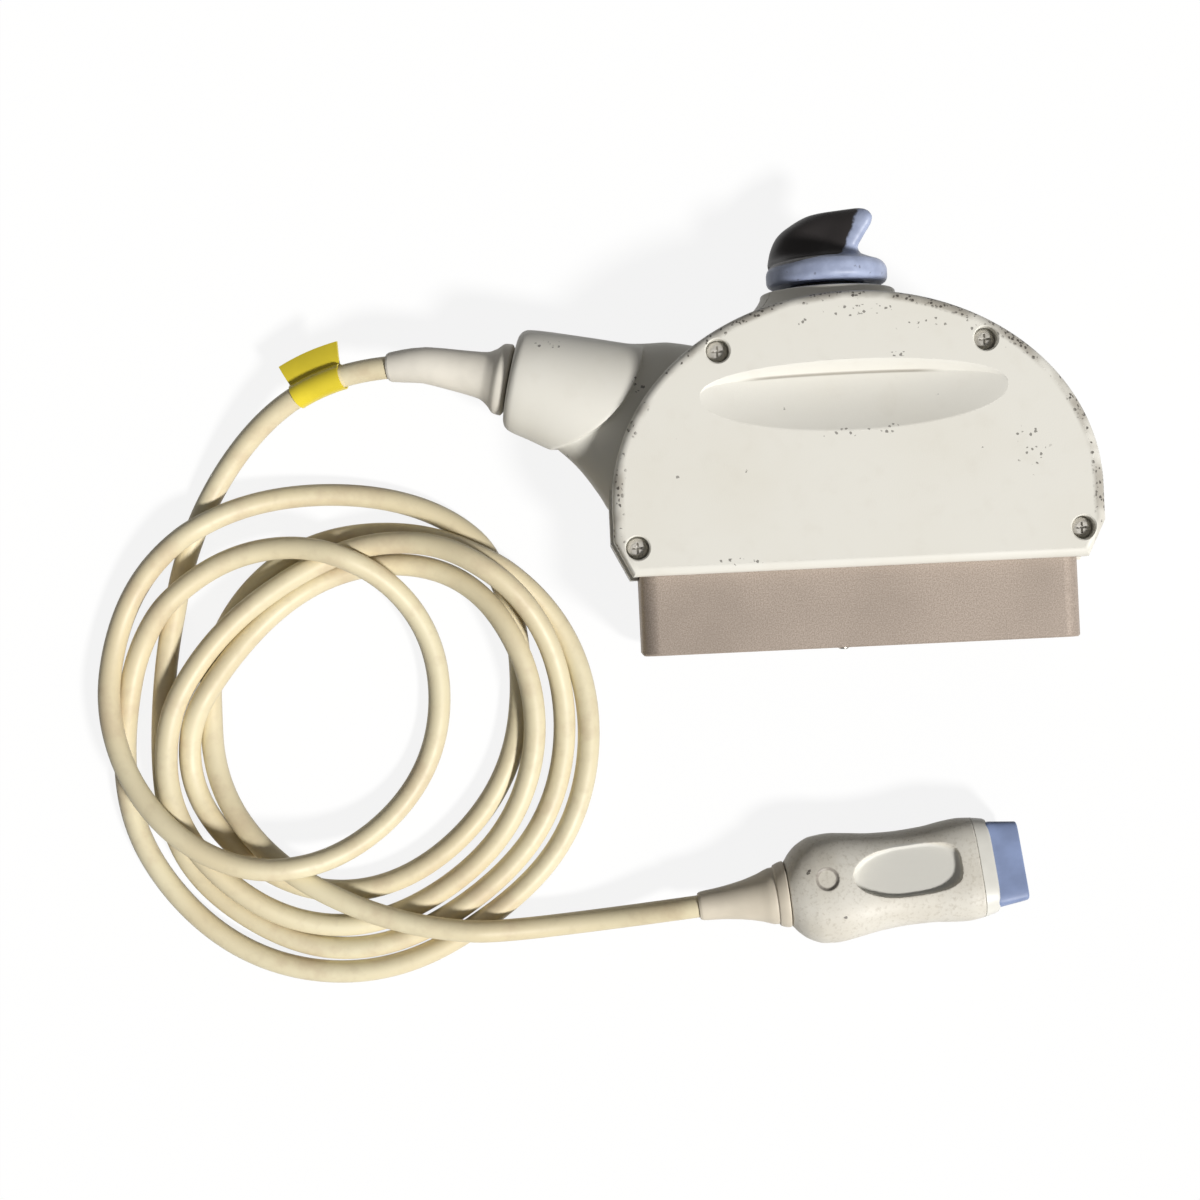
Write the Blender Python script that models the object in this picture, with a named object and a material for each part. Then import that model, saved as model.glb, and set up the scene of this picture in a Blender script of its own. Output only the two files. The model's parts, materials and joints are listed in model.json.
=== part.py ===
"""An ultrasound transducer with its cable and system plug, lying on a table.

The plug lies on its rear cover at z = 0, with the locking knob towards +Y and the
mating face towards -Y. All sizes below are millimetres; MM turns them into metres.
"""

import math

import bmesh
import bpy
import numpy as np
from mathutils import Matrix, Vector

MM = 0.001
GAP = 0.3

# Plug housing: an arch on straight sides, in two covers
HOUSING_HALF_WIDTH = 68.5
ARCH_RISE = 57.0
ARCH_FOOT_Y = -15.0
HOUSING_BOTTOM_Y = -35.0
BOTTOM_HALF_WIDTH = HOUSING_HALF_WIDTH - 5.0
CORNER_TOP_Y = -25.0
HOUSING_THICKNESS = 45.0
SPLIT_Z = HOUSING_THICKNESS - 15.0
WALL = 2.6
EDGE_RADIUS = 2.5
REAR_STEP = 0.8
ARCH_SEGMENTS = 32
EDGE_SEGMENTS = 3

# Grip scoop in the front cover
GRIP_CENTRE = (0.0, 12.0)
GRIP_HALF_LENGTH = 42.0
GRIP_HALF_HEIGHT = 9.6
GRIP_DEPTH = 4.0
GRIP_SEGMENTS = 28
# Share of the depth, and share of the mouth's size that is left there
GRIP_LEVELS = ((0.0, 1.0), (0.35, 0.84), (0.75, 0.64), (1.0, 0.42))

# Cover screws and their bosses
UPPER_SCREW_X = HOUSING_HALF_WIDTH - 31.2
UPPER_SCREW_Y = ARCH_FOOT_Y + ARCH_RISE - 15.3
LOWER_SCREW_X = HOUSING_HALF_WIDTH - 6.5
LOWER_SCREW_Y = HOUSING_BOTTOM_Y + 8.0
SCREW_PLACES = (
    (-UPPER_SCREW_X, UPPER_SCREW_Y),
    (UPPER_SCREW_X, UPPER_SCREW_Y),
    (-LOWER_SCREW_X, LOWER_SCREW_Y),
    (LOWER_SCREW_X, LOWER_SCREW_Y),
)
SCREW_HEAD_RADIUS = 2.8
SCREW_HEAD_HEIGHT = 2.0
SCREW_SHANK_RADIUS = 1.5
SCREW_LENGTH = 14.0
COUNTERBORE_DEPTH = 5.0
BOSS_RADIUS = 4.2

# Metal shroud round the mating face
SHROUD_HALF_WIDTH = BOTTOM_HALF_WIDTH - 1.7
SHROUD_LOW_Z = 5.0
SHROUD_HIGH_Z = HOUSING_THICKNESS - 5.0
SHROUD_WALL = 1.6
SHROUD_CORNER = 5.0
SHROUD_MOUTH_Y = HOUSING_BOTTOM_Y - 22.4
SHROUD_FLANGE_THICKNESS = 2.0
SHROUD_FLANGE_HALF_WIDTH = SHROUD_HALF_WIDTH - 0.5
SHROUD_CHAMFER = 0.5

# Contact block inside the shroud
CONTACT_FACE_Y = SHROUD_MOUTH_Y + 12.4
CONTACT_FLANGE_THICKNESS = 1.8
CONTACT_FLANGE_HALF_WIDTH = SHROUD_HALF_WIDTH - 0.8
COMB_INNER_X = 12.5
COMB_OUTER_X = SHROUD_HALF_WIDTH - 5.8
COMB_HEIGHT = 5.0
COMB_COUNT = 6
COMB_RIB = 2.4
COMB_PITCH = 4.4
CLAMP_RIB = 2.0
CLAMP_RIB_HALF_WIDTH = LOWER_SCREW_X - 6.0

# Circuit boards that carry the contact block's signals
BOARD_THICKNESS = 1.6
BOARD_HALF_WIDTH = HOUSING_HALF_WIDTH - 16.5
BOARD_LENGTH = 32.0
LOWER_BOARD_Z = 13.0
UPPER_BOARD_Z = SPLIT_Z + 0.6
BOARD_POST_RADIUS = 3.0
BOARD_POST_X = BOARD_HALF_WIDTH - 10.0
BOARD_POST_Y = ARCH_FOOT_Y + 9.0

# Lock: knob, shaft, bearing and cross pin, all about one axis along Y
LOCK_X = -3.5
LOCK_Z = HOUSING_THICKNESS / 2
SHAFT_RADIUS = 4.0
SHAFT_TIP_Y = SHROUD_MOUTH_Y - 0.9
SHAFT_PILOT_RADIUS = 1.6
SHAFT_PILOT_LENGTH = 2.0
COLLAR_TOP_Y = ARCH_FOOT_Y + ARCH_RISE + 2.6
COLLAR_TOP_HALF_WIDTH = 19.4
COLLAR_TOP_HALF_DEPTH = 17.4
COLLAR_FOOT_Y = COLLAR_TOP_Y - 8.6
COLLAR_FOOT_HALF_WIDTH = 26.5
COLLAR_FOOT_HALF_DEPTH = LOCK_Z - 2.4
COLLAR_EDGE = 0.8
COLLAR_SEGMENTS = 30
BEARING_BOSS_RADIUS = 9.8
BEARING_BOSS_LENGTH = 4.0
BUSH_RADIUS = 6.7
BUSH_FLANGE_RADIUS = 8.8
BUSH_FLANGE = 1.5
BUSH_INNER_Y = COLLAR_TOP_Y - 8.3
WASHER_RADIUS = 10.5
WASHER_THICKNESS = 1.3
RING_RADIUS = 7.4
RING_THICKNESS = 1.0
RING_GROOVE_RADIUS = 3.0
SLEEVE_RADIUS = 5.7
SLEEVE_FROM_TIP = 2.6
SLEEVE_LENGTH = 8.0
PIN_RADIUS = 1.7
PIN_HALF_LENGTH = 8.0
PIN_FROM_TIP = 5.6
KNOB_RADIUS = 17.4
KNOB_DISC = 6.9
KNOB_EDGE = 1.6
KNOB_BORE_DEPTH = 5.6
FIN_ANGLE = 30.0
# Height above the disc, reach of the fin back and forward, and half thickness of its back and its tip
FIN_SECTIONS = (
    (-0.8, 16.4, 15.6, 13.6, 10.6),
    (0.4, 16.6, 13.0, 12.4, 7.5),
    (1.6, 16.6, 10.6, 11.0, 4.9),
    (3.2, 16.5, 9.9, 9.7, 3.9),
    (5.4, 16.0, 11.2, 8.5, 3.4),
    (7.8, 14.9, 13.0, 7.3, 3.3),
    (9.8, 13.0, 14.4, 6.2, 3.2),
    (11.4, 10.4, 14.8, 5.0, 2.9),
    (12.8, 7.6, 14.1, 3.8, 2.4),
    (13.8, 4.6, 12.6, 2.6, 1.8),
    (14.2, 1.6, 10.8, 1.4, 1.1),
)
FIN_SEGMENTS = 24

# Cable outlet of the rear cover: a round barrel that ends in a curved lip, on a web that spreads
# into the side wall. Sections give the distance in from the end, reach up and down, and half depth
OUTLET_END = (-HOUSING_HALF_WIDTH - 27.4, 23.5, HOUSING_THICKNESS / 2)
OUTLET_ANGLE = 166.3
OUTLET_HOLE_RADIUS = 5.9
OUTLET_END_WALL = 2.6
BARREL_SECTIONS = (
    (0.0, 13.0, 12.0, 12.5),
    (0.7, 14.3, 13.3, 13.8),
    (2.2, 15.3, 14.3, 14.7),
    (8.0, 15.9, 15.7, 15.1),
    (15.5, 16.3, 17.5, 15.3),
    (22.0, 16.6, 18.6, 15.4),
    (30.0, 16.9, 19.3, 15.4),
    (38.0, 17.4, 19.6, 15.4),
)
LIP_INWARDS = 5.0
LIP_ACROSS = 12.0
LIP_RADIUS = 31.0
WEB_SECTIONS = (
    (10.0, 14.0, 13.5, 10.4),
    (18.0, 15.6, 17.4, 11.0),
    (23.0, 16.2, 20.4, 11.4),
    (27.3, 16.6, 23.8, 11.7),
    (31.7, 17.1, 27.9, 12.1),
    (35.8, 17.9, 31.8, 12.6),
    (43.0, 19.6, 33.0, 13.4),
    (50.0, 20.0, 33.0, 14.0),
)
OUTLET_ROOM_REACH = 26.0
OUTLET_ROOM_DEPTH = 5.0
OUTLET_SEGMENTS = 26
LIP_SEGMENTS = 36

# Cable and its two strain reliefs
CABLE_RADIUS = 3.3
CABLE_BORE = CABLE_RADIUS + GAP + 0.05
CABLE_SMOOTHING = 28
CABLE_SAG = 1.4
CABLE_LONGEST_STEP = 36.0
CABLE_STEP_IN_RELIEF = 5.0
FERRULE_LENGTH = 4.0
# Distance out along the cable from the outlet's end face, and radius
PLUG_BOOT_PROFILE = (
    (-6.0, 8.0),
    (-3.0, 8.0),
    (-2.9, 5.5),
    (0.5, 5.5),
    (0.6, 9.4),
    (1.4, 10.4),
    (3.4, 10.2),
    (5.4, 8.4),
    (8.0, 6.9),
    (11.5, 6.4),
    (22.0, 5.5),
    (32.0, 4.6),
    (35.2, 4.3),
    (36.0, 3.9),
)
BOOT_SEGMENTS = 16

# Tape folded round the cable as a flag
TAPE_CENTRE = (-152.6, 25.4, 16.6)
TAPE_LENGTH = 16.6
TAPE_SEGMENTS = 6
TAPE_THICKNESS = 0.45
TAPE_REACH = 10.0

# Transducer: place of its rear end on the table, how it points and how far it has rolled over
PROBE_REAR = (-22.0, -129.7)
PROBE_YAW = 5.3
PROBE_ROLL = -12.0
SHELL_WALL = 2.2
# Distance forward, half width, half thickness and how square the section is
SHELL_SECTIONS = (
    (0.0, 9.6, 9.4, 2.0),
    (2.0, 12.0, 10.4, 2.1),
    (4.5, 14.0, 11.2, 2.2),
    (8.5, 15.6, 11.8, 2.3),
    (13.0, 15.9, 11.9, 2.4),
    (19.0, 15.2, 11.5, 2.5),
    (26.0, 14.2, 10.8, 2.5),
    (34.0, 13.8, 10.3, 2.5),
    (41.0, 14.0, 10.3, 2.6),
    (47.0, 14.7, 10.6, 2.7),
    (51.5, 15.0, 10.8, 2.8),
    (55.5, 14.6, 10.6, 3.0),
)
SHELL_SEGMENTS = 28
NOSE_LENGTH = 4.2
NOSE_END = (13.8, 9.8, 3.2)
NOSE_SKIRT = 3.0
NOSE_RIM = 1.8
LENS_ROOT = (12.4, 8.4, 5.0)
LENS_TIP = (11.4, 6.4, 5.0)
LENS_REACH = 9.0
LENS_CROWN = 1.4
# Half width and half thickness of the inner blocks, as shares of the room behind the lens
ARRAY_SHARE = (0.88, 0.74)
BACKING_SHARE = (0.86, 0.7)
FLEX_SHARE = 0.8
ARRAY_LENGTH = 3.0
BACKING_LENGTH = 14.0
FLEX_LENGTH = 22.0
FLEX_THICKNESS = 0.8
# Distance back from the shells' rear end, and radius
PROBE_BOOT_PROFILE = (
    (-6.0, 6.9),
    (0.2, 6.9),
    (0.3, 9.5),
    (0.9, 9.7),
    (3.7, 8.6),
    (8.5, 7.0),
    (13.0, 5.8),
    (20.0, 4.7),
    (25.4, 4.1),
    (26.5, 3.8),
)
# Thumb rest in the upper shell: blunt towards the lens and round towards the cable
THUMB_CENTRE = (34.4, 1.2)
THUMB_HALF_LENGTH = 15.8
THUMB_HALF_WIDTH = 7.4
THUMB_FLOOR_Z = 8.4
THUMB_PAN_WALL = 1.6
THUMB_SEGMENTS = 24
# Round dimple behind the thumb rest
DIMPLE_PLACE = (11.0, 2.0)
DIMPLE_RADIUS = 3.4
DIMPLE_DEPTH = 0.5

# Points that the cable's centre line passes through between its two reliefs, chosen along its turns
CABLE_ROUTE = (
    # out of the plug's relief and down to the table
    (-121, 29.3, 22.4), (-131, 30.4, 21.8), (-139, 29.6, 20.2),
    (-161.5, 23.5, 13), (-189.5, -6.5, 3.4), (-202.5, -47, 3.4), (-203.5, -109.5, 3.4),
    # first turn
    (-187, -128, 3.4), (-156, -142.5, 3.4), (-135.5, -140, 3.4), (-95, -111.5, 3.4), (-85, -85, 3.4),
    (-86, -58, 5.4), (-96, -37.5, 16), (-113.5, -23, 15.8), (-124, -20.5, 11.1), (-146, -21, 9.8),
    (-170.5, -33.5, 9.2), (-179.5, -39.5, 10.2), (-197.5, -60.5, 10.4), (-204.5, -77.5, 10.3),
    # second turn
    (-201, -103.5, 10.3), (-170.5, -133, 6.7), (-160.5, -135.5, 3.9), (-145.5, -135.5, 3.4),
    (-109.5, -115.5, 3.4), (-95.5, -92.5, 7.4), (-93, -68, 9.2), (-101.5, -44, 10.2), (-117, -29, 3.9),
    (-148.5, -27, 3.4), (-169, -37.5, 3.9), (-187, -56, 10.4), (-191, -62.5, 10.4), (-198.5, -76.5, 5.2),
    # third turn
    (-198, -94, 3.4), (-169.5, -122.5, 3.4), (-144, -125, 3.4), (-123, -115, 3.4), (-101, -88.5, 3.4),
    (-98.5, -42.5, 3.4), (-107.5, -21, 3.4), (-114, -15, 3.4), (-134.5, -7, 3.4), (-160, -5, 3.7),
    (-175, -6.5, 6.5), (-186, -10.5, 10), (-197.5, -16.5, 10.2), (-214, -33.5, 5), (-220, -74, 9.5),
    # small inner turn
    (-201, -104.5, 17.2), (-178.5, -116.5, 17.2), (-166.5, -117, 16.9), (-154, -114, 10.8),
    (-142, -107, 5.4), (-131.5, -97, 3.4), (-123.5, -84, 3.4), (-121.5, -54.5, 3.5), (-126.5, -41.5, 5.4),
    (-143.5, -24.5, 15.2), (-154, -21, 15.6), (-164.5, -20, 11.9), (-177, -20.5, 10.2), (-187.5, -24.5, 10.2),
    # widest turn
    (-198, -32, 10), (-206.5, -41, 8.1), (-213.5, -51, 3.9), (-217.5, -95.5, 3.4),
    (-215, -105.5, 3.4), (-200, -128, 3.4), (-189, -138, 3.4), (-176, -145, 3.4), (-161.5, -148.5, 3.4),
    (-134.5, -147, 3.4), (-95.5, -123, 3.4), (-85, -110.5, 3.4), (-77, -79.5, 3.4), (-81.5, -53.5, 3.4),
    (-87.5, -43, 3.8), (-95, -34, 9), (-111, -23, 9.3), (-119.5, -19.5, 5), (-129.5, -17.5, 3.4),
    # last turn and the run to the transducer
    (-150.5, -17.5, 3.4), (-160.5, -19.5, 3.4), (-170, -25, 3.4), (-186.5, -43, 3.4), (-190.5, -52, 3.4),
    (-192.5, -70.5, 3.4), (-190, -91, 3.9), (-185, -101, 6.5), (-169.5, -117, 10), (-139.5, -132.5, 10.4),
    (-114.5, -137.5, 10.3), (-92.5, -137, 4.9), (-73, -135.5, 5.4), (-60, -133.5, 10.6),
)
CABLE_STRAIGHT = 14.0
CABLE_INTO_PROBE = 11.0
CABLE_LIFT = 0.1
CABLE_SPACING = 2.0
CABLE_CLEARANCE = 2 * CABLE_RADIUS + 0.1
CABLE_PARTING_PASSES = 60
CABLE_NEIGHBOURS = 20


def clear_scene():
    for obj in list(bpy.data.objects):
        bpy.data.objects.remove(obj)


def material(name, color, roughness, metallic=0.0):
    mat = bpy.data.materials.new(name)
    mat.use_nodes = True
    shader = mat.node_tree.nodes["Principled BSDF"]
    shader.inputs["Base Color"].default_value = (*color, 1.0)
    shader.inputs["Roughness"].default_value = roughness
    shader.inputs["Metallic"].default_value = metallic
    return mat


def add_object(name, mesh_builder, mat, sharp_angle=35.0):
    """Make an object from a bmesh whose coordinates are millimetres."""
    bmesh.ops.remove_doubles(mesh_builder, verts=mesh_builder.verts, dist=1e-5)
    bmesh.ops.recalc_face_normals(mesh_builder, faces=mesh_builder.faces)
    if mesh_builder.calc_volume(signed=True) < 0:
        bmesh.ops.reverse_faces(mesh_builder, faces=mesh_builder.faces)
    bmesh.ops.scale(mesh_builder, vec=(MM, MM, MM), verts=mesh_builder.verts)
    mesh = bpy.data.meshes.new(name)
    mesh_builder.to_mesh(mesh)
    mesh_builder.free()
    mesh.shade_smooth()
    mesh.set_sharp_from_angle(angle=math.radians(sharp_angle))
    mesh.materials.append(mat)
    obj = bpy.data.objects.new(name, mesh)
    bpy.context.scene.collection.objects.link(obj)
    return obj


def add_tool(name, mesh_builder):
    """Make a solid that only cuts or joins others."""
    tool = add_object(name, mesh_builder, tool_material)
    tool.hide_render = True
    tool.display_type = "WIRE"
    return tool


def apply_boolean(target, tool, operation):
    modifier = target.modifiers.new(tool.name, "BOOLEAN")
    modifier.operation = operation
    modifier.solver = "EXACT"
    modifier.object = tool


def cut(target, tool):
    apply_boolean(target, tool, "DIFFERENCE")


def join(target, tool):
    apply_boolean(target, tool, "UNION")


def skin(rings, ends="capped"):
    """A bmesh over rings of equal point count, its ends capped or joined to each other."""
    builder = bmesh.new()
    loops = [[builder.verts.new(point) for point in ring] for ring in rings]
    count = len(rings[0])
    pairs = list(zip(loops, loops[1:]))
    if ends == "joined":
        pairs.append((loops[-1], loops[0]))
    for low, high in pairs:
        for i in range(count):
            j = (i + 1) % count
            builder.faces.new((low[i], low[j], high[j], high[i]))
    if ends == "capped":
        builder.faces.new(loops[0])
        builder.faces.new(loops[-1])
    return builder


def box(low, high):
    """A bmesh box between two corners."""
    builder = bmesh.new()
    bmesh.ops.create_cube(builder, size=1.0)
    size = [b - a for a, b in zip(low, high)]
    middle = [(a + b) / 2 for a, b in zip(low, high)]
    bmesh.ops.scale(builder, vec=size, verts=builder.verts)
    bmesh.ops.translate(builder, vec=middle, verts=builder.verts)
    return builder


def circle(centre, side, up, radius, count):
    """Points on a circle spanned by two unit vectors."""
    points = []
    for i in range(count):
        angle = 2 * math.pi * i / count
        points.append(centre + side * (radius * math.cos(angle)) + up * (radius * math.sin(angle)))
    return points


def turned(origin, axis, profile, count, ends="capped"):
    """A bmesh turned about an axis from a profile of distances along it and radii."""
    axis = Vector(axis).normalized()
    side = axis.orthogonal().normalized()
    up = axis.cross(side)
    rings = [circle(Vector(origin) + axis * s, side, up, r, count) for s, r in profile]
    return skin(rings, ends)


def tube_profile(start, end, inner, outer):
    return ((start, inner), (start, outer), (end, outer), (end, inner))


def inset_loop(points, distance):
    """Move a counterclockwise outline inwards by a distance."""
    moved = []
    count = len(points)
    for i in range(count):
        before = Vector(points[i]) - Vector(points[i - 1])
        after = Vector(points[(i + 1) % count]) - Vector(points[i])
        a = Vector((-before.y, before.x)).normalized()
        b = Vector((-after.y, after.x)).normalized()
        shift = (a + b) * (distance / (1 + a.dot(b)))
        moved.append((points[i][0] + shift.x, points[i][1] + shift.y))
    return moved


def clip_at(builder, height, keep_above):
    """Cut a bmesh at a height, keep one side and close it."""
    geometry = builder.verts[:] + builder.edges[:] + builder.faces[:]
    result = bmesh.ops.bisect_plane(
        builder,
        geom=geometry,
        plane_co=(0, 0, height),
        plane_no=(0, 0, 1),
        clear_inner=keep_above,
        clear_outer=not keep_above,
    )
    edges = [item for item in result["geom_cut"] if isinstance(item, bmesh.types.BMEdge)]
    bmesh.ops.contextual_create(builder, geom=edges)
    return builder


def superellipse(half_width, half_height, power, count):
    """Points of a superellipse in its own plane, counterclockwise."""
    points = []
    for i in range(count):
        angle = 2 * math.pi * i / count
        c = math.cos(angle)
        s = math.sin(angle)
        x = half_width * math.copysign(abs(c) ** (2 / power), c)
        y = half_height * math.copysign(abs(s) ** (2 / power), s)
        points.append((x, y))
    return points


def housing_outline():
    """The plug's outline seen from the front, counterclockwise from its lower right corner."""
    points = [(BOTTOM_HALF_WIDTH, HOUSING_BOTTOM_Y), (HOUSING_HALF_WIDTH, CORNER_TOP_Y)]
    for i in range(ARCH_SEGMENTS + 1):
        angle = math.pi * i / ARCH_SEGMENTS
        x = HOUSING_HALF_WIDTH * math.cos(angle)
        y = ARCH_FOOT_Y + ARCH_RISE * math.sin(angle)
        points.append((x, y))
    points += [(-HOUSING_HALF_WIDTH, CORNER_TOP_Y), (-BOTTOM_HALF_WIDTH, HOUSING_BOTTOM_Y)]
    return points


def outline_ring(inset, z):
    return [(x, y, z) for x, y in inset_loop(housing_outline(), inset)]


def rounded_edge(face_z, inwards, start_inset):
    """Rings of a rounded edge from a flat face round to the side wall."""
    rings = []
    for i in range(EDGE_SEGMENTS + 1):
        angle = math.pi / 2 * i / EDGE_SEGMENTS
        inset = start_inset + EDGE_RADIUS * (1 - math.sin(angle))
        depth = EDGE_RADIUS * (1 - math.cos(angle))
        rings.append(outline_ring(inset, face_z + inwards * depth))
    return rings


def lock_point(y):
    return (LOCK_X, y, LOCK_Z)


def collar(z_above=None, z_below=None):
    """The flared boss under the knob, or its share in one cover."""
    steps = 5
    rings = []
    for i in range(steps + 1):
        t = i / steps
        flare = (1 - t) ** 1.5
        width = COLLAR_TOP_HALF_WIDTH + (COLLAR_FOOT_HALF_WIDTH - COLLAR_TOP_HALF_WIDTH) * flare
        depth = COLLAR_TOP_HALF_DEPTH + (COLLAR_FOOT_HALF_DEPTH - COLLAR_TOP_HALF_DEPTH) * flare
        y = COLLAR_FOOT_Y + (COLLAR_TOP_Y - COLLAR_EDGE - COLLAR_FOOT_Y) * t
        rings.append((y, width, depth))
    rings.append((COLLAR_TOP_Y, width - COLLAR_EDGE, depth - COLLAR_EDGE))
    loops = []
    for y, width, depth in rings:
        ring = superellipse(width, depth, 2.0, COLLAR_SEGMENTS)
        loops.append([(LOCK_X + a, y, LOCK_Z + b) for a, b in ring])
    builder = skin(loops)
    if z_above is not None:
        clip_at(builder, z_above, True)
    if z_below is not None:
        clip_at(builder, z_below, False)
    return builder


def outlet_axis():
    angle = math.radians(OUTLET_ANGLE)
    return Vector((math.cos(angle), math.sin(angle), 0.0))


def outlet_across():
    """Unit vector across the outlet in plan, towards +Y."""
    axis = outlet_axis()
    return Vector((axis.y, -axis.x, 0.0))


def outlet_rings(sections, grow=0.0):
    """Rings across the cable outlet, each reaching differently up and down in plan."""
    axis = outlet_axis()
    across = outlet_across()
    rings = []
    for inwards, reach_up, reach_down, half_depth in sections:
        centre = Vector(OUTLET_END) - axis * inwards + across * ((reach_up - reach_down) / 2)
        half = (reach_up + reach_down) / 2 + grow
        ring = []
        for a, b in superellipse(half, half_depth + grow, 2.0, OUTLET_SEGMENTS):
            ring.append(centre + across * a + Vector((0, 0, b)))
        rings.append(ring)
    return rings


def outlet_barrel(name, grow=0.0):
    """The barrel, its inner end rounded off in plan by an upright cylinder."""
    barrel = add_tool(name, skin(outlet_rings(BARREL_SECTIONS, grow)))
    centre = Vector(OUTLET_END) - outlet_axis() * LIP_INWARDS + outlet_across() * LIP_ACROSS
    reach = ((-HOUSING_THICKNESS, LIP_RADIUS + grow), (HOUSING_THICKNESS, LIP_RADIUS + grow))
    limit = add_tool(f"{name}_limit", turned(centre, (0, 0, 1), reach, LIP_SEGMENTS))
    apply_boolean(barrel, limit, "INTERSECT")
    return barrel


def outlet_room_sections():
    """Sections of the room inside the outlet, one wall in from the outside."""
    near = BARREL_SECTIONS[3]
    first = near[1] - WALL - 1.4
    sections = [(OUTLET_END_WALL, first, first, first)]
    sections.append((near[0], near[1] - WALL, near[2] - WALL, near[3] - WALL))
    for inwards, up, down, depth in WEB_SECTIONS[1:-1:2]:
        sections.append((inwards, up - WALL, min(down, OUTLET_ROOM_REACH) - WALL, depth - WALL))
    last = sections[-1]
    sections.append((last[0] + OUTLET_ROOM_DEPTH, last[1], last[2], last[3]))
    return sections


def boss(place, low, high, radius=BOSS_RADIUS, count=16):
    return turned((place[0], place[1], low), (0, 0, 1), ((0, radius), (high - low, radius)), count)


def shroud_opening(low_z, high_z):
    reach = SHROUD_HALF_WIDTH + GAP
    low = (-reach, HOUSING_BOTTOM_Y - 2, low_z)
    high = (reach, HOUSING_BOTTOM_Y + WALL + 1.0, high_z)
    return box(low, high)


def screw_seat_z():
    return HOUSING_THICKNESS - COUNTERBORE_DEPTH


def shroud_flange_back_y():
    return HOUSING_BOTTOM_Y + WALL + GAP + SHROUD_FLANGE_THICKNESS


def block_back_y():
    return shroud_flange_back_y() + GAP + CONTACT_FLANGE_THICKNESS


def build_rear_cover():
    rings = rounded_edge(0.0, 1, -REAR_STEP)
    rings.append(outline_ring(-REAR_STEP, SPLIT_Z))
    cover = add_object("rear_cover", skin(rings), cream_plastic)
    join(cover, add_tool("outlet_web", skin(outlet_rings(WEB_SECTIONS))))
    join(cover, outlet_barrel("outlet_barrel"))
    inside = [outline_ring(WALL, z) for z in (WALL, HOUSING_THICKNESS + 5)]
    cut(cover, add_tool("rear_inside", skin(inside)))
    for i, place in enumerate(SCREW_PLACES):
        join(cover, add_tool(f"rear_boss_{i + 1}", boss(place, WALL / 2, SPLIT_Z)))
    for i, place in enumerate(((-BOARD_POST_X, BOARD_POST_Y), (BOARD_POST_X, BOARD_POST_Y))):
        post = boss(place, WALL / 2, LOWER_BOARD_Z - GAP, BOARD_POST_RADIUS, 12)
        join(cover, add_tool(f"board_post_{i + 1}", post))
    rib_y = block_back_y() + GAP
    reach = CLAMP_RIB_HALF_WIDTH
    rib = box((-reach, rib_y, WALL / 2), (reach, rib_y + CLAMP_RIB, LOWER_BOARD_Z - 3.0))
    join(cover, add_tool("rear_clamp_rib", rib))
    join(cover, add_tool("rear_collar", collar(z_below=SPLIT_Z)))
    bearing_profile = ((0, BEARING_BOSS_RADIUS), (BEARING_BOSS_LENGTH, BEARING_BOSS_RADIUS))
    bearing = turned(lock_point(BUSH_INNER_Y), (0, 1, 0), bearing_profile, 24)
    join(cover, add_tool("bearing_boss", clip_at(bearing, SPLIT_Z, False)))
    cut(cover, add_tool("outlet_room", skin(outlet_rings(outlet_room_sections()))))
    hole = ((-1.0, OUTLET_HOLE_RADIUS), (OUTLET_END_WALL + 1.0, OUTLET_HOLE_RADIUS))
    cut(cover, add_tool("outlet_hole", turned(OUTLET_END, -outlet_axis(), hole, 24)))
    bush_hole = ((0, BUSH_RADIUS + GAP), (12.0, BUSH_RADIUS + GAP))
    cut(cover, add_tool("bush_hole", turned(lock_point(BUSH_INNER_Y - 1), (0, 1, 0), bush_hole, 24)))
    opening = shroud_opening(SHROUD_LOW_Z - GAP, SPLIT_Z + 1)
    cut(cover, add_tool("rear_shroud_opening", opening))
    for i, place in enumerate(SCREW_PLACES):
        depth = SCREW_LENGTH - (screw_seat_z() - SPLIT_Z) + 2.0
        hole = boss(place, SPLIT_Z - depth, SPLIT_Z + 1, SCREW_SHANK_RADIUS + GAP, 12)
        cut(cover, add_tool(f"rear_screw_hole_{i + 1}", hole))
    return cover


def grip_mouth(share, grow):
    """The scoop's outline at one level: blunter above, and drawn up under its brow as it deepens."""
    points = []
    length = (GRIP_HALF_LENGTH + grow) * (1 - (1 - share) * 0.55)
    height = GRIP_HALF_HEIGHT + grow
    for i in range(GRIP_SEGMENTS):
        angle = 2 * math.pi * i / GRIP_SEGMENTS
        c = math.cos(angle)
        s = math.sin(angle)
        power = 2.8 if s > 0 else 2.0
        x = length * math.copysign(abs(c) ** (2 / power), c)
        y = height * share * math.copysign(abs(s) ** (2 / power), s)
        points.append((GRIP_CENTRE[0] + x, GRIP_CENTRE[1] + y + height * (1 - share) * 0.8))
    return points


def grip_scoop(grow, depth, over):
    """The finger scoop: rings from above its mouth down to its floor."""
    top = HOUSING_THICKNESS
    rings = [[(x, y, top + over) for x, y in grip_mouth(1.0, grow)]]
    for level, share in GRIP_LEVELS:
        rings.append([(x, y, top - depth * level) for x, y in grip_mouth(share, grow)])
    return skin(rings)


def grip_pocket():
    """The scoop's underside, one wall below it."""
    rings = []
    for level, share in ((0.0, 1.0), (0.5, 0.84), (1.0, 0.6)):
        z = HOUSING_THICKNESS - WALL / 2 - (GRIP_DEPTH + WALL / 2) * level
        rings.append([(x, y, z) for x, y in grip_mouth(share, WALL)])
    return skin(rings)


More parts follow.
